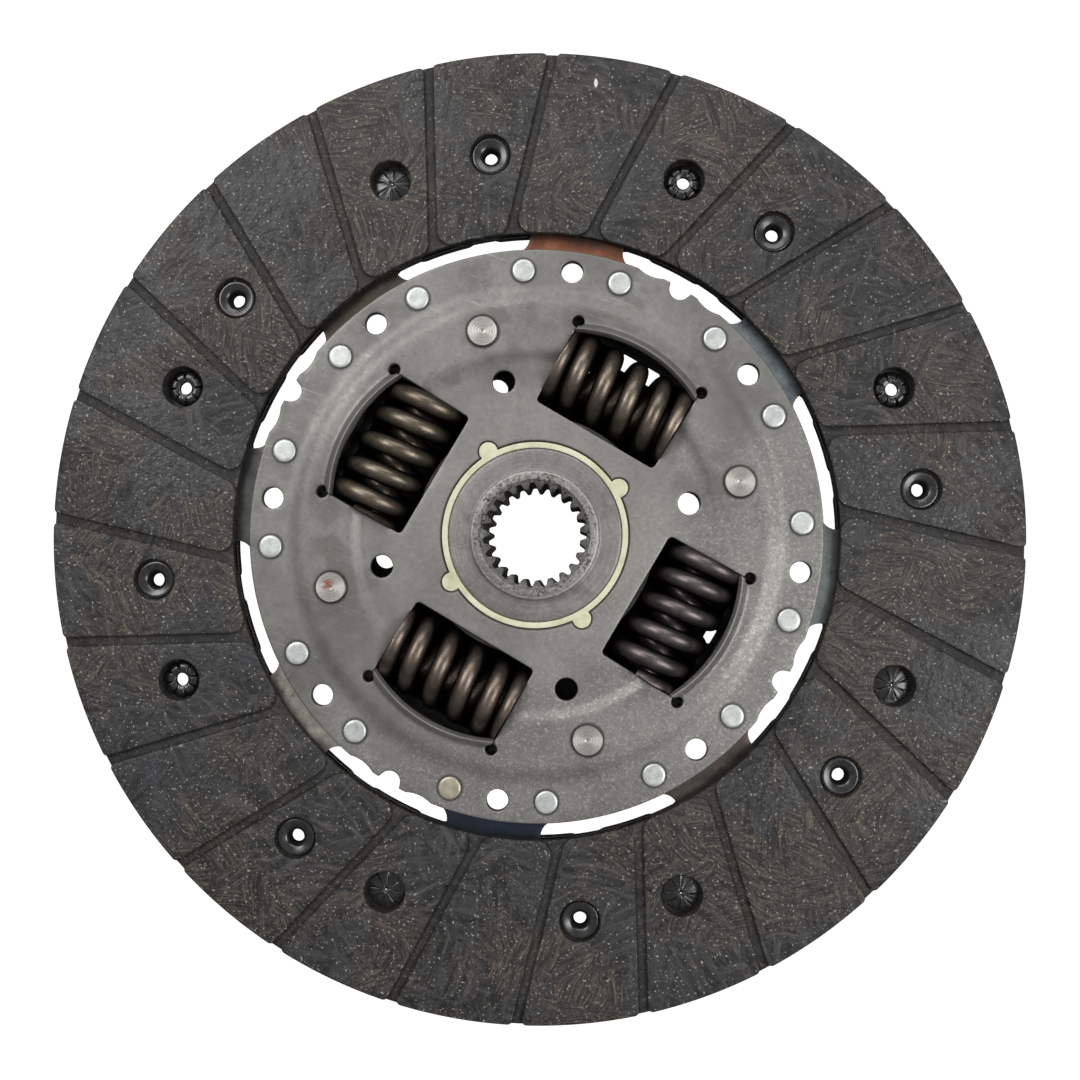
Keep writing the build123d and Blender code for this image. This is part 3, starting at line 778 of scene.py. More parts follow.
def cushion_rivets_mesh():
    out = Mesh()
    zt, zb, hr, sr = 2.35, -0.35, 2.85, 1.78
    prof = [(0, zb - 0.8), (hr - 0.5, zb - 0.78), (hr - 0.12, zb - 0.6), (hr, zb - 0.35), (hr - 0.05, zb),
            (sr, zb), (sr, zt), (hr - 0.05, zt), (hr, zt + 0.2), (hr - 0.04, zt + 0.42), (hr - 0.20, zt + 0.56),
            (hr - 0.8, zt + 0.6), (1.2, zt + 0.58), (0, zt + 0.56)]
    for k in range(8):
        for s in (-1, 1):
            out.merge(lathe(prof, 40, polar(CR_PCR, SEG_PHASE + 45 * k + s * CR_OFF)))
    return out


def stop_pins_mesh():
    out = Mesh()
    zt = PLATE_Z0 + PLATE_T + BEAD_H
    zi = zt - PLATE_T
    zir = 2 * SPR_Z - zi
    zb = 2 * SPR_Z - zt
    hr, sr, br = 3.98, 3.38, 5.0
    prof = [(0, zb - 0.72), (hr - 0.7, zb - 0.72), (hr - 0.2, zb - 0.55), (hr, zb - 0.2), (hr - 0.05, zb), (sr, zb),
            (sr, zir), (br - 0.2, zir), (br, zir + 0.2), (br, zi - 0.2), (br - 0.2, zi), (sr, zi), (sr, zt),
            (hr - 0.1, zt), (hr, zt + 0.12), (hr - 0.05, zt + 0.34), (hr - 0.25, zt + 0.5), (hr - 0.55, zt + 0.56)]
    # turned end face: shallow rings and a small centre dimple
    r = hr - 0.7
    while r > 0.5:
        prof.append((r, zt + 0.52 + 0.012 * math.sin(r * 9.0)))
        r -= 0.11
    prof += [(0.32, zt + 0.42), (0, zt + 0.36)]
    for k in range(4):
        out.merge(lathe(prof, 56, polar(PIN_PCR, PIN_PHASE + 90 * k)))
    return out


# ------------------------------------------------------------------ hub and bush
def hub_mesh():
    out = Mesh()
    per = 18
    n = TEETH * per
    th = np.arange(n) / n * 2 * math.pi
    # spline profile: rounded tips and roots
    ph = ((np.degrees(th) - TIP_PHASE) / (360.0 / TEETH)) % 1.0
    x = np.abs(ph - np.round(ph)) * 2  # 0 at a tooth tip, 1 at a root
    prof = TIP_R + (ROOT_R - TIP_R) * smooth(x, 0.20, 0.80)
    cos, sin = np.cos(th), np.sin(th)
    zf, zr = 4.3, -22.0
    rows = []

    def row(r, z):
        r = np.broadcast_to(np.asarray(r, float), (n,))
        z = np.broadcast_to(np.asarray(z, float), (n,))
        rows.append(np.c_[r * cos, r * sin, z])

    # rear mouth, bore, front mouth
    for i in range(9):
        z = zr + 3.2 * i / 8
        row(np.maximum(prof, 13.6 - 2.5 * i / 8 * 0.95), z)
    row(prof, -16.0)
    row(prof, -8.0)
    row(prof, -1.0)
    zc = zf - 1.9
    for i in range(13):
        t = i / 12
        z = zc + (zf - zc) * t
        row(np.maximum(prof, 11.2 + 2.5 * t ** 0.9), z)
    # end face, edge and shoulder
    bore_r = 13.7
    for r, z in ((13.95, zf + 0.02), (14.3, zf), (15.4, zf - 0.08), (15.7, zf - 0.26), (15.92, zf - 0.55), (16.0, zf - 0.95),
                 (16.0, 2.5), (16.08, 2.28), (16.3, 2.17), (16.7, 2.12), (18.5, 2.06), (20.9, 2.0), (21.25, 1.93), (21.5, 1.75), (21.6, 1.45),
                 (21.6, -0.9), (30.0, -0.9)):
        row(r, z)
    v = np.vstack(rows)
    faces = []
    m = len(rows)
    for k in range(m - 1):
        for i in range(n):
            j = (i + 1) % n
            faces.append((k * n + i, (k + 1) * n + i, (k + 1) * n + j, k * n + j))
    faces = [f[::-1] for f in faces]
    out.add(v, faces)
    # rear boss
    rows2 = []
    for r, z in ((13.6, zr), (14.6, zr), (15.2, zr + 0.1), (15.6, zr + 0.35), (15.8, zr + 0.8), (15.8, -13.35), (15.9, -13.2), (17.6, -13.2), (18.0, -12.8), (18.0, -6.9), (30.0, -6.9)):
        rows2.append(np.c_[r * cos, r * sin, np.full(n, z)])
    v = np.vstack(rows2)
    faces = []
    for k in range(len(rows2) - 1):
        for i in range(n):
            j = (i + 1) % n
            faces.append((k * n + i, k * n + j, (k + 1) * n + j, (k + 1) * n + i)[::-1])
    out.add(v, faces)
    # flange with spring windows and stop notches
    w, tr, pr, fr = 5.15, 9.0, PIN_PCR, 57.0
    loop = []
    for k in range(4):
        a = PIN_PHASE + 90 * k
        # notch outline in its own frame, radial axis along +X, run clockwise seen from outside in
        s0 = rot2(np.array([[math.sqrt(fr ** 2 - w ** 2), -w], [pr, -w]]), -tr)
        s1 = rot2(np.array([[pr, w], [math.sqrt(fr ** 2 - w ** 2), w]]), tr)
        c0 = polar(pr, -tr)
        c1 = polar(pr, tr)
        arc0 = arc(c0[0], c0[1], w, -90 - tr, -180 - tr, 0.6)
        arc1 = arc(c1[0], c1[1], w, 180 + tr, 90 + tr, 0.6)
        notch = np.vstack([s0[:1], arc0, arc(0, 0, pr - w, -tr, tr, 0.8)[1:-1], arc1, s1[1:]])
        e0 = math.degrees(math.atan2(s1[1][1], s1[1][0]))
        e1 = 90 + math.degrees(math.atan2(s0[0][1], s0[0][0]))
        rim = arc(0, 0, fr, e0, e1, 1.0)[1:-1]
        loop.append(rot2(np.vstack([notch, rim]), a))
    outer = np.vstack(loop)
    loops = [outer, circle(19.0, 120)]
    hs = 33.7 / 2 + 0.2
    for k in range(4):
        rect = rounded([(28.4, -hs), (53.0, -hs), (53.0, hs), (28.4, hs)], 0.6)
        loops.append(rot2(dense(rect, 1.5), WIN_PHASE + 90 * k))
        loops.append(circle(4.2, 40, polar(IH_PCR - 0.4, IH_PHASE + 90 * k)))
    out.merge(plan_solid(loops, -6.9, -0.9, er=0.4, steps=2))
    return out


def bush_mesh():
    zt = 2.05
    rb, rl, cl = 23.15, 2.35, 23.8
    loop = []
    half = math.degrees(math.acos((rb ** 2 + cl ** 2 - rl ** 2) / (2 * rb * cl)))
    for k in range(4):
        a = 29.2 + 90 * k
        c = polar(cl, a)
        pin = np.array(polar(rb, a - half)) - c
        pout = np.array(polar(rb, a + half)) - c
        b0, b1 = math.degrees(math.atan2(pin[1], pin[0])), math.degrees(math.atan2(pout[1], pout[0]))
        while b1 < b0:
            b1 += 360
        loop.append(arc(c[0], c[1], rl, b0, b1, 0.25))
        loop.append(arc(0, 0, rb, a + half, a + 90 - half, 0.5)[1:-1])
    out = Mesh()
    out.merge(plan_solid([np.vstack(loop), circle(21.68, 260)], 0.2, zt, er=0.22, steps=3))
    out.merge(lathe([(21.68, -0.9), (28.2, -0.9), (28.2, 0.33), (21.68, 0.33)], 200))
    return out


# ------------------------------------------------------------------ coil springs
SPR_R, SPR_OD, WIRE, SPR_L = 40.5, 21.6, 5.0, 33.7


def spring_mesh(k, shift=0.0):
    knots = np.array([(-0.30, -1.3), (0.0, 0.25), (1.0, 5.6), (2.0, 12.7), (3.0, 19.8), (4.0, 26.9), (5.0, 32.8), (5.30, 34.3)])
    xs, ys = knots[:, 0], knots[:, 1]
    d = np.diff(ys) / np.diff(xs)
    mm = np.r_[d[0], (d[:-1] + d[1:]) / 2, d[-1]]

    def zt(t):
        i = int(np.clip(np.searchsorted(xs, t, side="right") - 1, 0, len(xs) - 2))
        hh = xs[i + 1] - xs[i]
        s = (t - xs[i]) / hh
        return ((2 * s ** 3 - 3 * s ** 2 + 1) * ys[i] + (s ** 3 - 2 * s ** 2 + s) * hh * mm[i]
                + (-2 * s ** 3 + 3 * s ** 2) * ys[i + 1] + (s ** 3 - s ** 2) * hh * mm[i + 1])

    rc = (SPR_OD - WIRE) / 2
    steps, ring = 300, 28
    ts = np.linspace(xs[0], xs[-1], steps + 1)
    cen = np.array([(rc * math.cos(2 * math.pi * (t + shift)), rc * math.sin(2 * math.pi * (t + shift)), zt(t)) for t in ts])
    tan = np.gradient(cen, axis=0)
    tan /= np.linalg.norm(tan, axis=1)[:, None]
    rad = np.c_[cen[:, 0], cen[:, 1], np.zeros(len(cen))]
    rad /= np.linalg.norm(rad, axis=1)[:, None]
    nrm = rad - (rad * tan).sum(1)[:, None] * tan
    nrm /= np.linalg.norm(nrm, axis=1)[:, None]
    bi = np.cross(tan, nrm)
    verts, faces = [], []
    ang = np.arange(ring) / ring * 2 * math.pi
    for i in range(len(cen)):
        for a in ang:
            verts.append(cen[i] + WIRE / 2 * (math.cos(a) * nrm[i] + math.sin(a) * bi[i]))
    for i in range(len(cen) - 1):
        for j in range(ring):
            q = (j + 1) % ring
            faces.append((i * ring + j, i * ring + q, (i + 1) * ring + q, (i + 1) * ring + j))
    v = np.array(verts)
    last = (len(cen) - 1) * ring
    c0 = len(v)
    v = np.vstack([v, cen[:1], cen[-1:]])
    for j in range(ring):
        q = (j + 1) % ring
        faces.append((c0, q, j))
        faces.append((c0 + 1, last + j, last + q))
    v[:, 2] = np.clip(v[:, 2], 0.0, SPR_L) - SPR_L / 2
    # local x -> up, local y -> towards the hub, local z -> clockwise tangent
    w = np.c_[SPR_R - v[:, 1], -v[:, 2], SPR_Z + v[:, 0]]
    out = Mesh()
    out.add(np.c_[rot2(w[:, :2], WIN_PHASE + 90 * k), w[:, 2]], faces)
    return out


# ------------------------------------------------------------------ materials
def lin(r, g, b):
    """sRGB 0 to 255 to linear."""
    def f(c):
        c /= 255.0
        return c / 12.92 if c <= 0.04045 else ((c + 0.055) / 1.055) ** 2.4
    return (f(r), f(g), f(b), 1.0)


class Nodes:
    def __init__(self, name):
        self.mat = bpy.data.materials.new(name)
        self.mat.use_nodes = True
        self.t = self.mat.node_tree
        self.t.nodes.clear()
        self.out = self.t.nodes.new("ShaderNodeOutputMaterial")
        self.co = self.t.nodes.new("ShaderNodeTexCoord").outputs["Object"]
        self.mm = self.vmath("SCALE", self.co, scale=1000.0)

    def put(self, node, sock, val):
        s = node.inputs[sock]
        if isinstance(val, bpy.types.NodeSocket):
            self.t.links.new(val, s)
        else:
            s.default_value = val

    def vmath(self, op, a, b=None, scale=None):
        n = self.t.nodes.new("ShaderNodeVectorMath")
        n.operation = op
        self.put(n, 0, a)
        if b is not None:
            self.put(n, 1, b)
        if scale is not None:
            self.put(n, 3, scale)
        return n.outputs["Value"] if op in ("LENGTH", "DOT_PRODUCT", "DISTANCE") else n.outputs["Vector"]

    def math(self, op, a, b=None, c=None, clamp=False):
        n = self.t.nodes.new("ShaderNodeMath")
        n.operation = op
        n.use_clamp = clamp
        self.put(n, 0, a)
        if b is not None:
            self.put(n, 1, b)
        if c is not None:
            self.put(n, 2, c)
        return n.outputs[0]

    def noise(self, scale, detail=4.0, rough=0.5, dist=0.0, vec=None, out="Fac", w=None, dims="3D"):
        n = self.t.nodes.new("ShaderNodeTexNoise")
        n.noise_dimensions = "4D" if w is not None else dims
        self.put(n, "Vector", self.mm if vec is None else vec)
        self.put(n, "Scale", scale)
        self.put(n, "Detail", detail)
        self.put(n, "Roughness", rough)
        self.put(n, "Distortion", dist)
        if w is not None:
            self.put(n, "W", w)
        return n.outputs[out]

    def voronoi(self, scale, feature="F1", vec=None, out="Distance", rand=1.0):
        n = self.t.nodes.new("ShaderNodeTexVoronoi")
        n.feature = feature
        self.put(n, "Vector", self.mm if vec is None else vec)
        self.put(n, "Scale", scale)
        self.put(n, "Randomness", rand)
        return n.outputs[out]

    def ramp(self, fac, stops, mode="LINEAR"):
        n = self.t.nodes.new("ShaderNodeValToRGB")
        n.color_ramp.interpolation = mode
        e = n.color_ramp.elements
        while len(e) < len(stops):
            e.new(0.5)
        for i, (p, c) in enumerate(stops):
            e[i].position = p
            e[i].color = c if len(c) == 4 else (*c, 1.0)
        self.put(n, 0, fac)
        return n.outputs["Color"]

    def step(self, fac, lo, hi, a=0.0, b=1.0):
        n = self.t.nodes.new("ShaderNodeMapRange")
        n.interpolation_type = "SMOOTHSTEP"
        self.put(n, "Value", fac)
        self.put(n, "From Min", lo)
        self.put(n, "From Max", hi)
        self.put(n, "To Min", a)
        self.put(n, "To Max", b)
        return n.outputs["Result"]

    def mix(self, fac, a, b, mode="MIX"):
        n = self.t.nodes.new("ShaderNodeMix")
        n.data_type = "RGBA"
        n.blend_type = mode
        n.clamp_factor = True
        self.put(n, 0, fac)
        self.put(n, 6, a)
        self.put(n, 7, b)
        return n.outputs[2]

    def mixf(self, fac, a, b):
        n = self.t.nodes.new("ShaderNodeMix")
        n.data_type = "FLOAT"
        self.put(n, 0, fac)
        self.put(n, 2, a)
        self.put(n, 3, b)
        return n.outputs[0]

    def bump(self, height, strength=0.3, distance=0.1, normal=None):
        n = self.t.nodes.new("ShaderNodeBump")
        self.put(n, "Strength", strength)
        self.put(n, "Distance", distance * MM)
        self.put(n, "Height", height)
        if normal is not None:
            self.put(n, "Normal", normal)
        return n.outputs[0]

    def xyz(self, vec=None):
        n = self.t.nodes.new("ShaderNodeSeparateXYZ")
        self.put(n, 0, self.mm if vec is None else vec)
        return n.outputs[0], n.outputs[1], n.outputs[2]

    def join(self, x, y, z):
        n = self.t.nodes.new("ShaderNodeCombineXYZ")
        for i, v in enumerate((x, y, z)):
            self.put(n, i, v)
        return n.outputs[0]

    def radius(self):
        x, y, z = self.xyz()
        return self.math("SQRT", self.math("ADD", self.math("MULTIPLY", x, x), self.math("MULTIPLY", y, y)))

    def angle(self):
        x, y, z = self.xyz()
        return self.math("ARCTAN2", y, x)

    def normal_z(self):
        g = self.t.nodes.new("ShaderNodeNewGeometry")
        return self.xyz(g.outputs["Normal"])[2]

    def principled(self, **kw):
        n = self.t.nodes.new("ShaderNodeBsdfPrincipled")
        for k, v in kw.items():
            self.put(n, k.replace("_", " "), v)
        self.t.links.new(n.outputs[0], self.out.inputs[0])
        return n


def turned(m, vec, angle):
    n = m.t.nodes.new("ShaderNodeVectorRotate")
    n.rotation_type = "Z_AXIS"
    m.put(n, "Vector", vec)
    m.put(n, "Angle", angle)
    return n.outputs[0]


def combed(m, v, cell):
    """Coordinates that turn to a new direction from patch to patch, for combed strokes."""
    pick = m.voronoi(cell, vec=v, out="Color")
    px, py, pz = m.xyz(pick)
    r = turned(m, v, m.math("MULTIPLY", px, 6.2832))
    return m.vmath("ADD", r, m.vmath("SCALE", pick, scale=57.0))


def strokes(m, r, along, across, detail=2.0, rough=0.55):
    return m.noise(1.0, detail, rough, vec=m.vmath("MULTIPLY", r, (along, across, along)))


def channels(m, scale, detail=3.0, rough=0.55, vec=None):
    return m.xyz(m.noise(scale, detail, rough, vec=vec, out="Color"))


def ridge(m, v, centre, width):
    """1 along the line where v passes centre, 0 further than width away."""
    return m.step(m.math("ABSOLUTE", m.math("SUBTRACT", v, centre)), 0.0, width, 1.0, 0.0)


def spot(m, x, y, rx, ry, soft=0.3):
    px, py, pz = m.xyz()
    dx = m.math("DIVIDE", m.math("SUBTRACT", px, x), rx)
    dy = m.math("DIVIDE", m.math("SUBTRACT", py, y), ry)
    d = m.math("SQRT", m.math("ADD", m.math("MULTIPLY", dx, dx), m.math("MULTIPLY", dy, dy)))
    return m.step(d, 1.0 - soft, 1.0 + soft, 1.0, 0.0)


def lining_material():
    """Moulded friction lining: bundles of resin-soaked yarn in all directions, with brown and brass strands."""
    m = Nodes("lining")
    x, y, z = m.xyz()
    face = m.step(m.math("ABSOLUTE", z), 3.1, 3.75)
    bend = m.noise(0.085, 1, 0.5, out="Color")
    v = m.vmath("ADD", m.mm, m.vmath("SCALE", m.vmath("SUBTRACT", bend, (0.5, 0.5, 0.5)), scale=5.0))
    ra, rb = combed(m, v, 0.075), combed(m, m.vmath("ADD", v, (61.0, 23.0, 0.0)), 0.100)
    one = strokes(m, ra, 0.085, 0.62, 2.0, 0.66)
    two = strokes(m, rb, 0.105, 0.80, 2.0, 0.64)
    weave = m.math("MAXIMUM", one, two)
    hair = strokes(m, rb, 0.15, 2.3, 1.0)
    c1, c2, c3 = channels(m, 0.033, 2.0, 0.62)
    s1, s2, s3 = channels(m, 1.5, 1.0, 0.6)
    # ground: smooth charcoal; glossier patches where the resin skin is closed, tinted blue-grey there as painted
    # sheen; brownish where yarn shows
    warm = m.step(c1, 0.48, 0.60)
    skin_and_sheen = m.math("MULTIPLY", m.step(c2, 0.49, 0.58), m.math("SUBTRACT", 1.0, m.math("MULTIPLY", warm, 0.7)))
    col = m.ramp(weave, [(0.42, lin(32, 31, 31)), (0.50, lin(49, 48, 48)), (0.58, lin(60, 58, 58)), (0.68, lin(80, 78, 76))])
    col = m.mix(m.math("MULTIPLY", skin_and_sheen, 0.9), col,
                m.ramp(weave, [(0.42, lin(48, 48, 50)), (0.54, lin(57, 57, 60)), (0.68, lin(66, 67, 70))]))
    col = m.mix(m.math("MULTIPLY", warm, 0.62), col,
                m.ramp(hair, [(0.36, lin(38, 35, 33)), (0.50, lin(60, 55, 51)), (0.66, lin(92, 84, 76))]))
    # broad shadows where one bundle dips under another
    under = m.math("MULTIPLY", m.step(one, 0.46, 0.39, 0.0, 1.0), m.step(c3, 0.47, 0.54))
    col = m.mix(m.math("MULTIPLY", under, 0.75), col, lin(30, 29, 29))
    # brown and straw strands inside the warm areas
    reach = m.math("MULTIPLY", m.step(c1, 0.45, 0.56), m.step(two, 0.42, 0.52), clamp=True)
    strand = m.math("MULTIPLY", m.step(hair, 0.57, 0.64), reach)
    tone = m.ramp(s3, [(0.40, lin(92, 80, 68)), (0.52, lin(112, 98, 82)), (0.62, lin(122, 96, 78))])
    col = m.mix(m.math("MULTIPLY", strand, 0.60), col, tone)
    loose = m.math("MAXIMUM", ridge(m, hair, 0.470, 0.012), ridge(m, hair, 0.545, 0.010))
    straw = m.math("MULTIPLY", loose, m.math("MULTIPLY", m.step(c1, 0.42, 0.50), m.step(s2, 0.50, 0.60)))
    col = m.mix(m.math("MULTIPLY", straw, 0.80), col, m.ramp(s3, [(0.42, lin(164, 156, 144)), (0.60, lin(184, 162, 128))]))
    # painted shade in the creases where the bundles cross; dark pits and light grains
    gap = m.math("ABSOLUTE", m.math("SUBTRACT", one, two))
    crease_shade = m.math("MULTIPLY", m.step(gap, 0.0, 0.030, 1.0, 0.0), m.step(c3, 0.50, 0.56, 0.05, 1.0))
    col = m.mix(m.math("MULTIPLY", crease_shade, 0.90), col, lin(26, 25, 25))
    col = m.mix(m.step(s1, 0.65, 0.71, 0.0, 0.75), col, lin(34, 32, 32))
    col = m.mix(m.step(s2, 0.68, 0.73, 0.0, 0.80), col, lin(176, 170, 160))
    # smooth, darker groove floors and walls
    col = m.mix(face, m.mix(0.55, col, m.ramp(c1, [(0.42, lin(34, 33, 33)), (0.60, lin(46, 42, 38))])), col)
    chip = m.math("MULTIPLY", spot(m, 15.2, 112.2, 0.45, 1.05), m.step(z, 0.0, 1.0))
    col = m.mix(chip, col, lin(232, 230, 224))
    height = m.noise(0.60, 2, 0.6)
    rough = m.mixf(skin_and_sheen, 0.60, 0.44)
    n = m.principled(Base_Color=col, Roughness=m.mixf(face, 0.68, rough))
    n.inputs["Specular IOR Level"].default_value = 0.42
    m.put(n, "Normal", m.bump(height, 0.6, 0.6))
    return m.mat


def folded(m, r, a, phase, step, off, pcr):
    """Distance to the nearest of the points at +-off degrees round each station of a circular row."""
    t = m.math("DIVIDE", m.math("SUBTRACT", a, phase * RAD), step * RAD)
    t = m.math("SUBTRACT", t, m.math("ROUND", t))
    t = m.math("SUBTRACT", m.math("MULTIPLY", m.math("ABSOLUTE", t), step * RAD), off * RAD)
    u = m.math("MULTIPLY", r, t)
    w = m.math("SUBTRACT", r, pcr)
    return m.math("SQRT", m.math("ADD", m.math("MULTIPLY", u, u), m.math("MULTIPLY", w, w)))


def plate_material(name, base=(134, 132, 128), rough=0.46, seed=0.0, metal=0.55, shade_inside=False):
    """Phosphated sheet steel with oily smudges, crystalline patches, pits and scratches, plus painted light: glints in
    the crystalline patches, a highlight on the lips, contact shadows round the rivets, pins and bush, and shade on the
    retainer's inner face.
    """
    m = Nodes(name)
    v = m.vmath("ADD", m.mm, (seed * 37.0, seed * 11.0, 0.0))
    x, y, z = m.xyz()
    a1, a2, a3 = channels(m, 0.055, 4.0, 0.66, v)
    f1, f2, f3 = channels(m, 0.9, 3.0, 0.72, v)
    gx, gy, gz = m.xyz(m.voronoi(2.6, vec=v, out="Color"))

    def tone(f):
        return lin(*[min(255, c * f) for c in base])

    col = m.ramp(a1, [(0.34, tone(0.88)), (0.50, tone(1.0)), (0.66, tone(1.10))])
    smear = m.step(a2, 0.52, 0.64)
    col = m.mix(m.math("MULTIPLY", smear, 0.50), col, tone(0.80))
    col = m.mix(m.step(a3, 0.55, 0.68, 0.0, 0.50), col, tone(1.17))
    # crystalline patches of the coating, strongest towards +x -y: a real lighter coating, with painted glints in its
    # brightest cells
    lean = m.math("ADD", m.math("MULTIPLY", x, 0.0040), m.math("MULTIPLY", y, -0.0046))
    zone = m.step(m.math("ADD", m.math("ADD", m.math("MULTIPLY", a1, 0.5), m.math("MULTIPLY", a3, 0.5)), lean), 0.51, 0.68)
    crystal_tone_and_glints = m.ramp(gx, [(0.0, tone(0.92)), (0.5, tone(1.08)), (0.82, tone(1.24)), (1.0, tone(1.50))])
    col = m.mix(m.math("MULTIPLY", zone, m.step(f1, 0.40, 0.60, 0.15, 0.70)), col, crystal_tone_and_glints)
    # grains, pits and faint rust
    col = m.mix(m.step(f2, 0.42, 0.70, 0.0, 0.30), col, tone(0.78))
    col = m.mix(m.step(f3, 0.64, 0.71, 0.0, 0.55), col, tone(0.60))
    col = m.mix(m.math("MULTIPLY", m.step(a2, 0.62, 0.70), m.step(f1, 0.50, 0.62, 0.0, 0.5)), col, lin(112, 98, 80))
    # thin scratches in two directions
    lines = None
    for a, g in ((0.35, a2), (2.2, a3)):
        s = m.vmath("MULTIPLY", turned(m, v, a), (0.03, 1.1, 0.03))
        l = m.math("MULTIPLY", ridge(m, m.noise(1.0, 1, 0.5, vec=s), 0.5, 0.006), m.step(g, 0.48, 0.54))
        lines = l if lines is None else m.math("MAXIMUM", lines, l)
    col = m.mix(m.math("MULTIPLY", lines, 0.50), col, tone(1.34))
    if not shade_inside:
        r, a = m.radius(), m.angle()
        col = m.mix(m.step(r, 41.0, 33.0, 0.0, 0.60), col, m.ramp(m.mixf(0.5, a1, f1), [(0.38, tone(1.04)), (0.60, tone(1.22))]))
        # painted highlight: the raised lip over each window is painted lighter, its top edge lighter still as a bright
        # edge line
        col = m.mix(m.step(z, 3.72, 4.35, 0.0, 0.45), col, tone(1.16))
        col = m.mix(m.step(z, 4.70, 4.98, 0.0, 0.55), col, tone(1.45))
        # painted contact shadows: dark rings round the cushion rivets, the stop pins, the bush lugs and the bush
        # opening
        d = folded(m, r, a, SEG_PHASE, 45.0, CR_OFF, CR_PCR)
        contact_shadow = m.step(d, 3.75, 2.95, 0.0, 0.75)
        d = folded(m, r, a, PIN_PHASE, 90.0, 0.0, PIN_PCR)
        contact_shadow = m.math("MAXIMUM", contact_shadow, m.step(d, 4.75, 4.10, 0.0, 0.70))
        d = folded(m, r, a, 29.2, 90.0, 0.0, 23.8)
        contact_shadow = m.math("MAXIMUM", contact_shadow, m.step(d, 2.95, 2.60, 0.0, 0.9))
        contact_shadow = m.math("MAXIMUM", contact_shadow, m.step(r, 23.80, 23.45, 0.0, 0.9))
        col = m.mix(contact_shadow, col, tone(0.40))
    if shade_inside:
        # painted shade: the retainer's face turned towards the front plate, seen through the windows, is painted near
        # black outside r 27-29 mm
        up = m.step(m.normal_z(), 0.02, 0.2)
        col = m.mix(m.math("MULTIPLY", up, m.step(m.radius(), 27.0, 29.0)), col, lin(30, 28, 27))
    height = m.noise(0.9, 2, 0.6)
    r = m.math("ADD", m.mixf(f2, rough - 0.06, rough + 0.10), m.math("MULTIPLY", smear, -0.06))
    n = m.principled(Base_Color=col, Metallic=metal, Roughness=r)
    m.put(n, "Normal", m.bump(height, 0.25, 0.10))
    return m.mat


def simple_material(name, col, rough=0.5, metal=0.0, bump=0.1, scale=1.0, spread=0.10):
    m = Nodes(name)
    a = m.noise(0.2 * scale, 4, 0.6)
    b = m.noise(2.0 * scale, 3, 0.6)
    c = m.mix(m.step(a, 0.3, 0.7, 0.0, 1.0), lin(*[x * (1 - spread) for x in col]), lin(*[min(255, x * (1 + spread)) for x in col]))
    c = m.mix(m.step(b, 0.60, 0.72, 0.0, 0.35), c, lin(*[x * 0.7 for x in col]))
    n = m.principled(Base_Color=c, Metallic=metal, Roughness=m.mixf(a, rough - 0.08, rough + 0.08))
    m.put(n, "Normal", m.bump(b, bump, 0.05))
    return m.mat


def segment_material(name, col, seed):
    """Spring steel with a heat tint on the neck and a dull paddle under the linings; the paddle is painted dark as
    shade, and the neck carries a painted shadow of the facing.
    """
    m = Nodes(name)
    v = m.vmath("ADD", m.mm, (seed * 13.0, seed * 29.0, 0.0))
    a, a2, a3 = channels(m, 0.14, 4.0, 0.6, v)
    b = m.noise(1.4, 4, 0.65, vec=v)
    tint = m.ramp(m.mixf(0.35, a, b), [(0.34, lin(*[x * 0.70 for x in col])), (0.52, lin(*col)),
                                      (0.66, lin(*[min(255, x * 1.25) for x in col]))])
    tint = m.mix(m.step(a2, 0.56, 0.66, 0.0, 0.55), tint, lin(50, 46, 43))
    # painted shadow of the facing on the neck: darker towards the lining, and painted lighter next to the plate
    out = m.math("ADD", m.radius(), m.math("MULTIPLY", m.math("SUBTRACT", a3, 0.5), 3.0))
    tint = m.mix(m.step(out, 72.4, 75.2, 0.0, 0.70), tint, lin(*[x * 0.42 for x in col]))
    tint = m.mix(m.step(out, 72.6, 71.6, 0.0, 0.35), tint, lin(*[min(255, x * 1.18 + 8) for x in col]))
    # painted shade: the paddle under the linings, seen only down the rivet bores and at the lining's inner edge, is
    # painted dark
    under = m.step(m.radius(), 74.6, 76.4)
    dull = m.ramp(b, [(0.3, lin(34, 32, 31)), (0.7, lin(52, 49, 46))])
    c = m.mix(under, tint, dull)
    n = m.principled(Base_Color=c, Metallic=m.mixf(under, 0.5, 0.2), Roughness=m.mixf(a, 0.40, 0.55))
    m.put(n, "Normal", m.bump(b, 0.2, 0.08))
    return m.mat


def coil_material(name, col, seed):
    """Oil-tempered wire: satin, with small scuffs; the wire's sides are painted dark as shade."""
    m = Nodes(name)
    v = m.vmath("ADD", m.mm, (seed * 19.0, seed * 7.0, 0.0))
    a, a2, a3 = channels(m, 0.24, 4.0, 0.6, v)
    b, b2, b3 = channels(m, 2.0, 3.0, 0.65, v)
    c = m.ramp(m.mixf(0.4, a, b), [(0.36, lin(*[x * 0.80 for x in col])), (0.5, lin(*col)), (0.64, lin(*[x * 1.20 for x in col]))])
    c = m.mix(m.step(b2, 0.60, 0.70, 0.0, 0.55), c, lin(*[x * 0.5 for x in col]))
    c = m.mix(m.step(b3, 0.68, 0.75, 0.0, 0.60), c, lin(186, 172, 160))
    # painted shade: the sides of the wire, facing away from straight up, are painted dark
    top = m.step(m.math("ADD", m.normal_z(), m.math("MULTIPLY", m.math("SUBTRACT", a3, 0.5), 0.2)), 0.34, 0.90)
    c = m.mix(top, lin(*[x * 0.22 for x in col]), c)
    n = m.principled(Base_Color=c, Metallic=0.85, Roughness=m.mixf(a, 0.33, 0.43))
    m.put(n, "Normal", m.bump(b, 0.14, 0.06))
    return m.mat


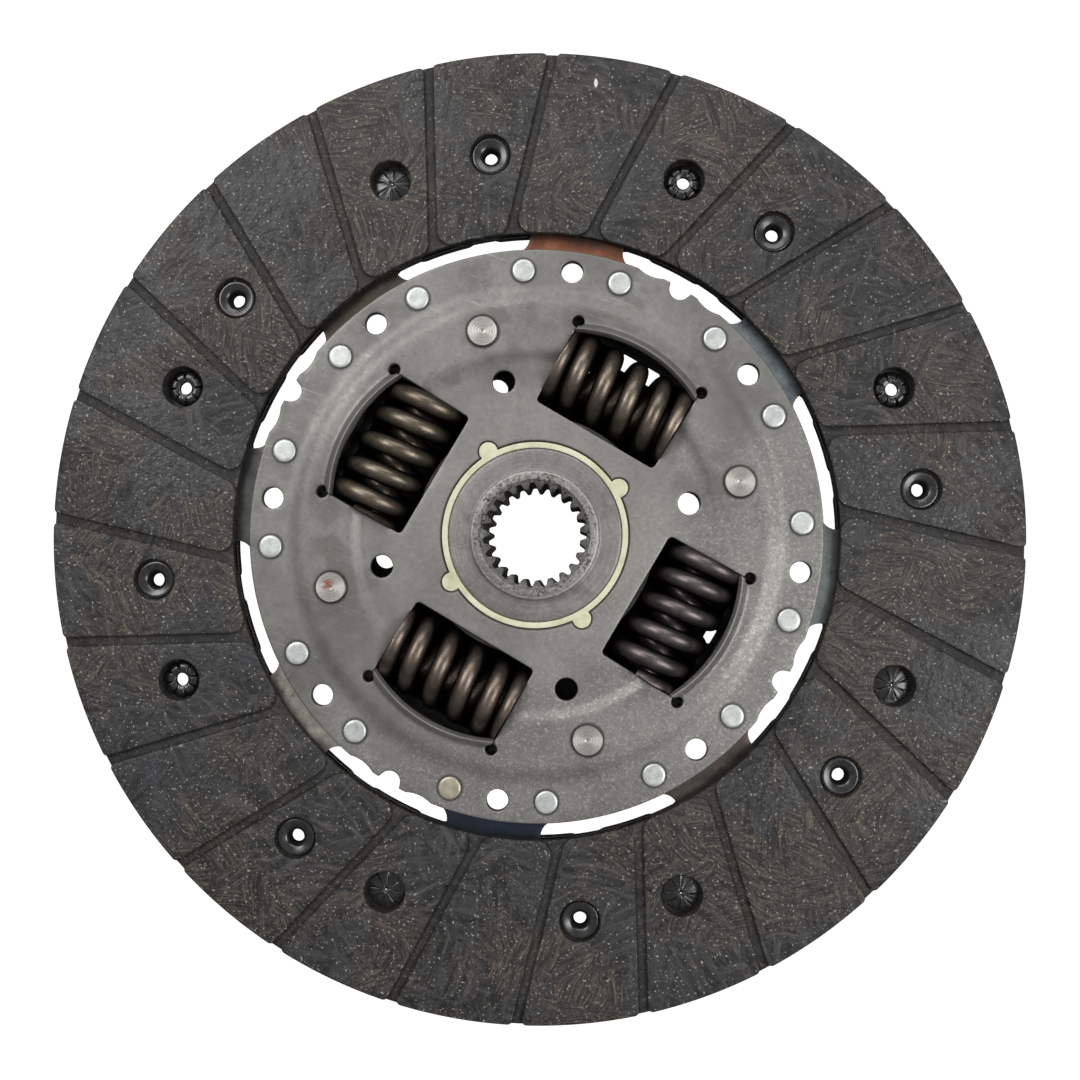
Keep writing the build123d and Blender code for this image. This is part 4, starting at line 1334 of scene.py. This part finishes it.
def hub_material():
    """Machined and phosphated steel; the collar's end face is pitted, with a painted highlight on its rounded edge;
    the flange is painted dark as shade.
    """
    m = Nodes("hub_steel")
    r = m.radius()
    x, y, z = m.xyz()
    a, a2, a3 = channels(m, 0.11, 4.0, 0.66)
    b, b2, b3 = channels(m, 1.15, 4.0, 0.70)
    c = m.ramp(m.mixf(0.5, a, b), [(0.36, lin(122, 120, 117)), (0.50, lin(143, 142, 139)), (0.64, lin(162, 161, 157))])
    c = m.mix(m.step(a2, 0.54, 0.64, 0.0, 0.50), c, lin(162, 160, 156))
    c = m.mix(m.step(a3, 0.54, 0.64, 0.0, 0.45), c, lin(100, 97, 93))
    rings = m.noise(1.0, 2, 0.5, vec=m.join(m.math("MULTIPLY", r, 4.2), m.math("MULTIPLY", m.angle(), 0.8), 0.0))
    c = m.mix(m.step(rings, 0.40, 0.62, 0.0, 0.30), c, lin(104, 102, 99))
    pit = m.math("MULTIPLY", m.step(b2, 0.49, 0.58), m.step(a3, 0.42, 0.56, 0.15, 1.0))
    rim = m.math("MULTIPLY", m.step(z, 2.2, 3.2), m.step(r, 15.9, 15.3))
    c = m.mix(m.math("MULTIPLY", m.math("MULTIPLY", pit, rim), 0.90), c, lin(52, 48, 45))
    c = m.mix(m.math("MULTIPLY", m.math("MULTIPLY", m.step(b3, 0.52, 0.62), rim), 0.70), c, lin(190, 187, 182))
    c = m.mix(m.step(b3, 0.62, 0.70, 0.0, 0.55), c, lin(70, 66, 62))
    # painted highlight: a bright line on the rounded edge of the collar's end face
    edge_highlight = m.math("MULTIPLY", m.step(z, 3.2, 3.8), m.math("MULTIPLY", m.step(r, 15.25, 15.65), m.step(r, 16.15, 15.95)))
    c = m.mix(m.math("MULTIPLY", edge_highlight, m.step(b, 0.35, 0.55, 0.35, 0.95)), c, lin(222, 219, 213))
    bore = m.math("MULTIPLY", m.step(r, 13.75, 13.35), m.step(z, 3.6, 2.2))
    c = m.mix(m.math("MULTIPLY", bore, 0.80), c, m.ramp(b, [(0.38, lin(58, 56, 54)), (0.62, lin(122, 118, 113))]))
    # painted shade: the flange, lying between the plates, is painted dark
    dark = m.math("MULTIPLY", m.step(r, 22.0, 23.5), m.step(z, -0.5, -0.75))
    c = m.mix(m.math("MULTIPLY", dark, 0.9), c, m.ramp(a, [(0.3, lin(38, 36, 35)), (0.7, lin(58, 55, 52))]))
    h = m.math("ADD", m.math("MULTIPLY", b, 0.6), m.math("MULTIPLY", m.math("MULTIPLY", m.step(b2, 0.49, 0.58), rim), -0.7))
    n = m.principled(Base_Color=c, Metallic=0.55, Roughness=m.mixf(a, 0.38, 0.54))
    m.put(n, "Normal", m.bump(h, 0.40, 0.14))
    return m.mat


def pin_material():
    m = Nodes("pin_steel")
    x, y, z = m.xyz()
    near = highlight_fan_sum = None
    # fan pattern for the painted highlight on each pin's turned end
    for k in range(4):
        c = polar(PIN_PCR, PIN_PHASE + 90 * k)
        dx, dy = m.math("SUBTRACT", x, float(c[0])), m.math("SUBTRACT", y, float(c[1]))
        xx, yy = m.math("MULTIPLY", dx, dx), m.math("MULTIPLY", dy, dy)
        d = m.math("SQRT", m.math("ADD", xx, yy))
        highlight_fan_one = m.math("MULTIPLY", m.math("DIVIDE", m.math("SUBTRACT", xx, yy), m.math("ADD", m.math("ADD", xx, yy), 0.05)),
                     m.math("LESS_THAN", d, 5.2))
        highlight_fan_sum = highlight_fan_one if highlight_fan_sum is None else m.math("ADD", highlight_fan_sum, highlight_fan_one)
        near = d if near is None else m.math("MINIMUM", near, d)
    rings = m.noise(1.0, 2, 0.6, vec=m.join(m.math("MULTIPLY", near, 6.5), m.math("MULTIPLY", x, 0.05), 0.0))
    a = m.noise(0.5, 4, 0.6)
    c = m.ramp(rings, [(0.36, lin(178, 177, 170)), (0.5, lin(192, 191, 184)), (0.64, lin(206, 205, 198))])
    # painted reflection: a bright fan across each pin's end, darker in the crossing sectors
    c = m.mix(m.step(highlight_fan_sum, -0.9, 0.9, 0.50, 0.0), c, lin(138, 136, 129))
    c = m.mix(m.step(highlight_fan_sum, 0.35, 1.0, 0.0, 0.55), c, lin(232, 230, 223))
    c = m.mix(m.step(a, 0.50, 0.68, 0.0, 0.35), c, lin(132, 128, 118))
    c = m.mix(m.step(near, 0.45, 0.20, 0.0, 0.5), c, lin(110, 104, 96))
    # painted shade: a dark ring on the rounded edge of each pin's head
    c = m.mix(m.math("MULTIPLY", m.step(near, 3.40, 3.72), 0.85), c, lin(66, 62, 58))
    paint = m.math("MULTIPLY", spot(m, -51.2, -12.4, 1.6, 1.3, 0.5), m.math("MULTIPLY", m.step(a, 0.40, 0.56), m.step(z, 0.0, 1.0)))
    c = m.mix(m.math("MULTIPLY", paint, 0.85), c, lin(158, 74, 64))
    n = m.principled(Base_Color=c, Metallic=0.6, Roughness=m.mixf(a, 0.34, 0.46))
    m.put(n, "Normal", m.bump(rings, 0.10, 0.04))
    return m.mat


def zinc_material():
    m = Nodes("zinc")
    a, a2, a3 = channels(m, 0.6, 4.0, 0.62)
    b = m.noise(2.6, 3, 0.6)
    c = m.ramp(m.mixf(0.4, a, b), [(0.36, lin(196, 199, 197)), (0.52, lin(216, 220, 217)), (0.64, lin(232, 235, 232))])
    c = m.mix(m.step(a2, 0.60, 0.68, 0.0, 0.30), c, lin(140, 138, 132))
    c = m.mix(spot(m, -20.95, -62.48, 3.2, 3.2, 0.05), c, m.ramp(a, [(0.36, lin(178, 172, 150)), (0.64, lin(204, 198, 176))]))
    n = m.principled(Base_Color=c, Metallic=0.6, Roughness=m.mixf(a, 0.34, 0.50))
    m.put(n, "Normal", m.bump(b, 0.12, 0.06))
    return m.mat


def rivet_material(name, sign):
    """Blackened steel rivets; the rolled head, on the sign side, is painted lighter as the lit face."""
    m = Nodes(name)
    x, y, z = m.xyz()
    a = m.noise(0.8, 4, 0.6)
    b = m.noise(3.0, 3, 0.6)
    c = m.ramp(m.mixf(0.4, a, b), [(0.36, lin(20, 20, 20)), (0.52, lin(31, 30, 30)), (0.66, lin(52, 50, 49))])
    # painted light: the head on the sign side is painted lighter as the lit face
    head = m.step(m.math("MULTIPLY", z, float(sign)), 1.2, 1.6)
    painted_lit_head = m.ramp(m.mixf(0.4, a, b), [(0.36, lin(24, 24, 24)), (0.52, lin(38, 37, 37)), (0.66, lin(60, 58, 57))])
    c = m.mix(head, c, painted_lit_head)
    n = m.principled(Base_Color=c, Metallic=0.25, Roughness=m.mixf(b, 0.16, 0.36))
    n.inputs["Specular IOR Level"].default_value = 1.0
    m.put(n, "Normal", m.bump(b, 0.10, 0.06))
    return m.mat


def bush_material():
    m = Nodes("bush_plastic")
    a, a2, a3 = channels(m, 0.16, 4.0, 0.62)
    b = m.noise(1.5, 4, 0.68)
    c = m.ramp(a, [(0.36, lin(208, 210, 174)), (0.52, lin(226, 228, 194)), (0.64, lin(234, 235, 208))])
    c = m.mix(m.step(a2, 0.56, 0.66, 0.0, 0.35), c, lin(172, 169, 142))
    c = m.mix(m.step(b, 0.58, 0.70, 0.0, 0.45), c, lin(140, 136, 114))
    n = m.principled(Base_Color=c, Roughness=m.mixf(a, 0.38, 0.52))
    m.put(n, "Normal", m.bump(b, 0.10, 0.06))
    return m.mat


lining_mat = lining_material()
plate_mat = plate_material("plate")
retainer_mat = plate_material("retainer", (128, 126, 122), seed=1.0, shade_inside=True)
hub_mat = hub_material()
bush_mat = bush_material()
pin_mat = pin_material()
zinc_mat = zinc_material()
rivet_mats = [rivet_material("rivet_front", 1), rivet_material("rivet_rear", -1)]
coil_mats = [coil_material("coil_%d" % (i + 1), c, i) for i, c in enumerate(
    [(120, 109, 98), (116, 106, 94), (118, 106, 97), (104, 95, 95)])]
segment_mats = [segment_material("segment_%d" % (k + 1), c, k) for k, c in enumerate(
    [(106, 114, 118), (124, 78, 56), (72, 66, 54), (84, 83, 82), (160, 155, 146), (34, 46, 62), (84, 75, 68), (108, 115, 112)])]
washer_mat = simple_material("washer_plastic", (150, 150, 120), 0.6, 0.0, 0.1)
washer_steel_mat = simple_material("washer_steel", (120, 118, 114), 0.4, 0.7, 0.1)
blued_mat = simple_material("blued_steel", (70, 74, 84), 0.35, 0.7, 0.1)

# ------------------------------------------------------------------ pieces
place(disc_plate_mesh(), "vis_disc_plate", "disc", [plate_mat], ("disc_plate",), 32)
place(retainer_mesh(), "vis_retainer_plate", "disc", [retainer_mat], ("retainer_plate",), 32)
for k in range(8):
    place(segment_mesh(k), "vis_cushion_segment_%d" % (k + 1), "disc", [segment_mats[k]],
          ("cushion_segment_%d" % (k + 1),), 32)
f = facing_mesh()
place(f, "vis_facing_front", "disc", [lining_mat], ("facing_front",), 32)
r = Mesh()
r.merge(f, segment_turn)
place(r, "vis_facing_rear", "disc", [lining_mat], ("facing_rear",), 32)
front = facing_rivets_mesh(True)
place(front, "vis_facing_rivets_front", "disc", [rivet_mats[0]], ("facing_rivets_front",), 40)
place(facing_rivets_mesh(False), "vis_facing_rivets_rear", "disc", [rivet_mats[1]], ("facing_rivets_rear",), 40)
place(cushion_rivets_mesh(), "vis_cushion_rivets", "disc", [zinc_mat], ("cushion_rivets",), 50)
place(stop_pins_mesh(), "vis_stop_pins", "disc", [pin_mat], ("stop_pins",), 50)
place(bush_mesh(), "vis_front_bush", "disc", [bush_mat], ("front_bush",), 40)
place(hub_mesh(), "vis_hub", "hub", [hub_mat], ("hub",), 35)
for k in range(4):
    s = place(spring_mesh(k, (0.0, 0.28, -0.04, -0.27)[k]), "vis_damper_spring_%d" % (k + 1), "coils", [coil_mats[k]],
              ("damper_spring_%d" % (k + 1),), 45)
    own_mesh(s)
for node, mt in (("friction_washer", washer_mat), ("thrust_washer", washer_steel_mat), ("belleville_spring", blued_mat)):
    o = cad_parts[node]
    o.data.materials.clear()
    o.data.materials.append(mt)

# ------------------------------------------------------------------ floor, lights, camera
fm = Nodes("floor_paper")
grain = fm.noise(0.05, 3, 0.5)
n = fm.t.nodes.new("ShaderNodeEmission")
fm.put(n, "Color", fm.mix(grain, (1.0, 1.0, 1.0, 1.0), (0.995, 0.996, 1.0, 1.0)))
fm.put(n, "Strength", 1.08)
fm.t.links.new(n.outputs[0], fm.out.inputs[0])
me = bpy.data.meshes.new("floor")
S = 4.0
me.from_pydata([(-S, -S, -0.0221), (S, -S, -0.0221), (S, S, -0.0221), (-S, S, -0.0221)], [], [(0, 1, 2, 3)])
me.materials.append(fm.mat)
floor = bpy.data.objects.new("floor", me)
bpy.context.scene.collection.objects.link(floor)
floor.visible_diffuse = False
floor.visible_glossy = False
floor.visible_shadow = False

world = bpy.data.worlds.new("studio")
bpy.context.scene.world = world
world.use_nodes = True
wt = world.node_tree
wt.nodes.clear()
wo = wt.nodes.new("ShaderNodeOutputWorld")
wb = wt.nodes.new("ShaderNodeBackground")
tc = wt.nodes.new("ShaderNodeTexCoord")
sx = wt.nodes.new("ShaderNodeSeparateXYZ")
wt.links.new(tc.outputs["Generated"], sx.inputs[0])
mr = wt.nodes.new("ShaderNodeMapRange")
mr.interpolation_type = "SMOOTHSTEP"
mr.inputs["From Min"].default_value = 0.20
mr.inputs["From Max"].default_value = 0.95
mr.inputs["To Min"].default_value = 0.02
mr.inputs["To Max"].default_value = 0.31
wt.links.new(sx.outputs[2], mr.inputs["Value"])
wt.links.new(mr.outputs[0], wb.inputs["Strength"])
wb.inputs["Color"].default_value = (1.0, 1.0, 1.0, 1.0)
wt.links.new(wb.outputs[0], wo.inputs[0])


def area(name, loc, target, size, power, size_y=None, color=(1, 1, 1)):
    d = bpy.data.lights.new(name, "AREA")
    d.energy = power
    d.color = color
    d.size = size
    if size_y:
        d.shape = "RECTANGLE"
        d.size_y = size_y
    o = bpy.data.objects.new(name, d)
    bpy.context.scene.collection.objects.link(o)
    o.location = loc
    o.rotation_euler = (Vector(target) - Vector(loc)).to_track_quat("-Z", "Y").to_euler()
    return o


area("key_left", (-0.45, 0.35, 0.75), (0, 0, 0), 0.36, 2.9, 0.36)
area("fill_right", (0.55, -0.15, 0.7), (0, 0, 0), 0.34, 3.2, 0.42)
area("top", (0.05, 0.6, 0.6), (0, 0, 0), 0.7, 1.9, 0.25)

cam_data = bpy.data.cameras.new("camera")
cam = bpy.data.objects.new("camera", cam_data)
bpy.context.scene.collection.objects.link(cam)
cam_data.sensor_width = 36.0
cam_data.lens = 42.8
cam_data.clip_start = 0.01
cam_data.clip_end = 20.0
CAM_AT = Vector((10.3, -9.4, 320.0)) * MM
CAM_TO = Vector((1.2, -1.2, 0.0)) * MM
cam.location = CAM_AT
back = (CAM_AT - CAM_TO).normalized()
right = Vector((0, 1, 0)).cross(back).normalized()
up = back.cross(right)
cam.matrix_world = Matrix(((right.x, up.x, back.x, CAM_AT.x), (right.y, up.y, back.y, CAM_AT.y),
                           (right.z, up.z, back.z, CAM_AT.z), (0, 0, 0, 1)))
bpy.context.scene.camera = cam
bpy.context.scene.view_settings.view_transform = "Standard"
bpy.context.scene.view_settings.look = "None"
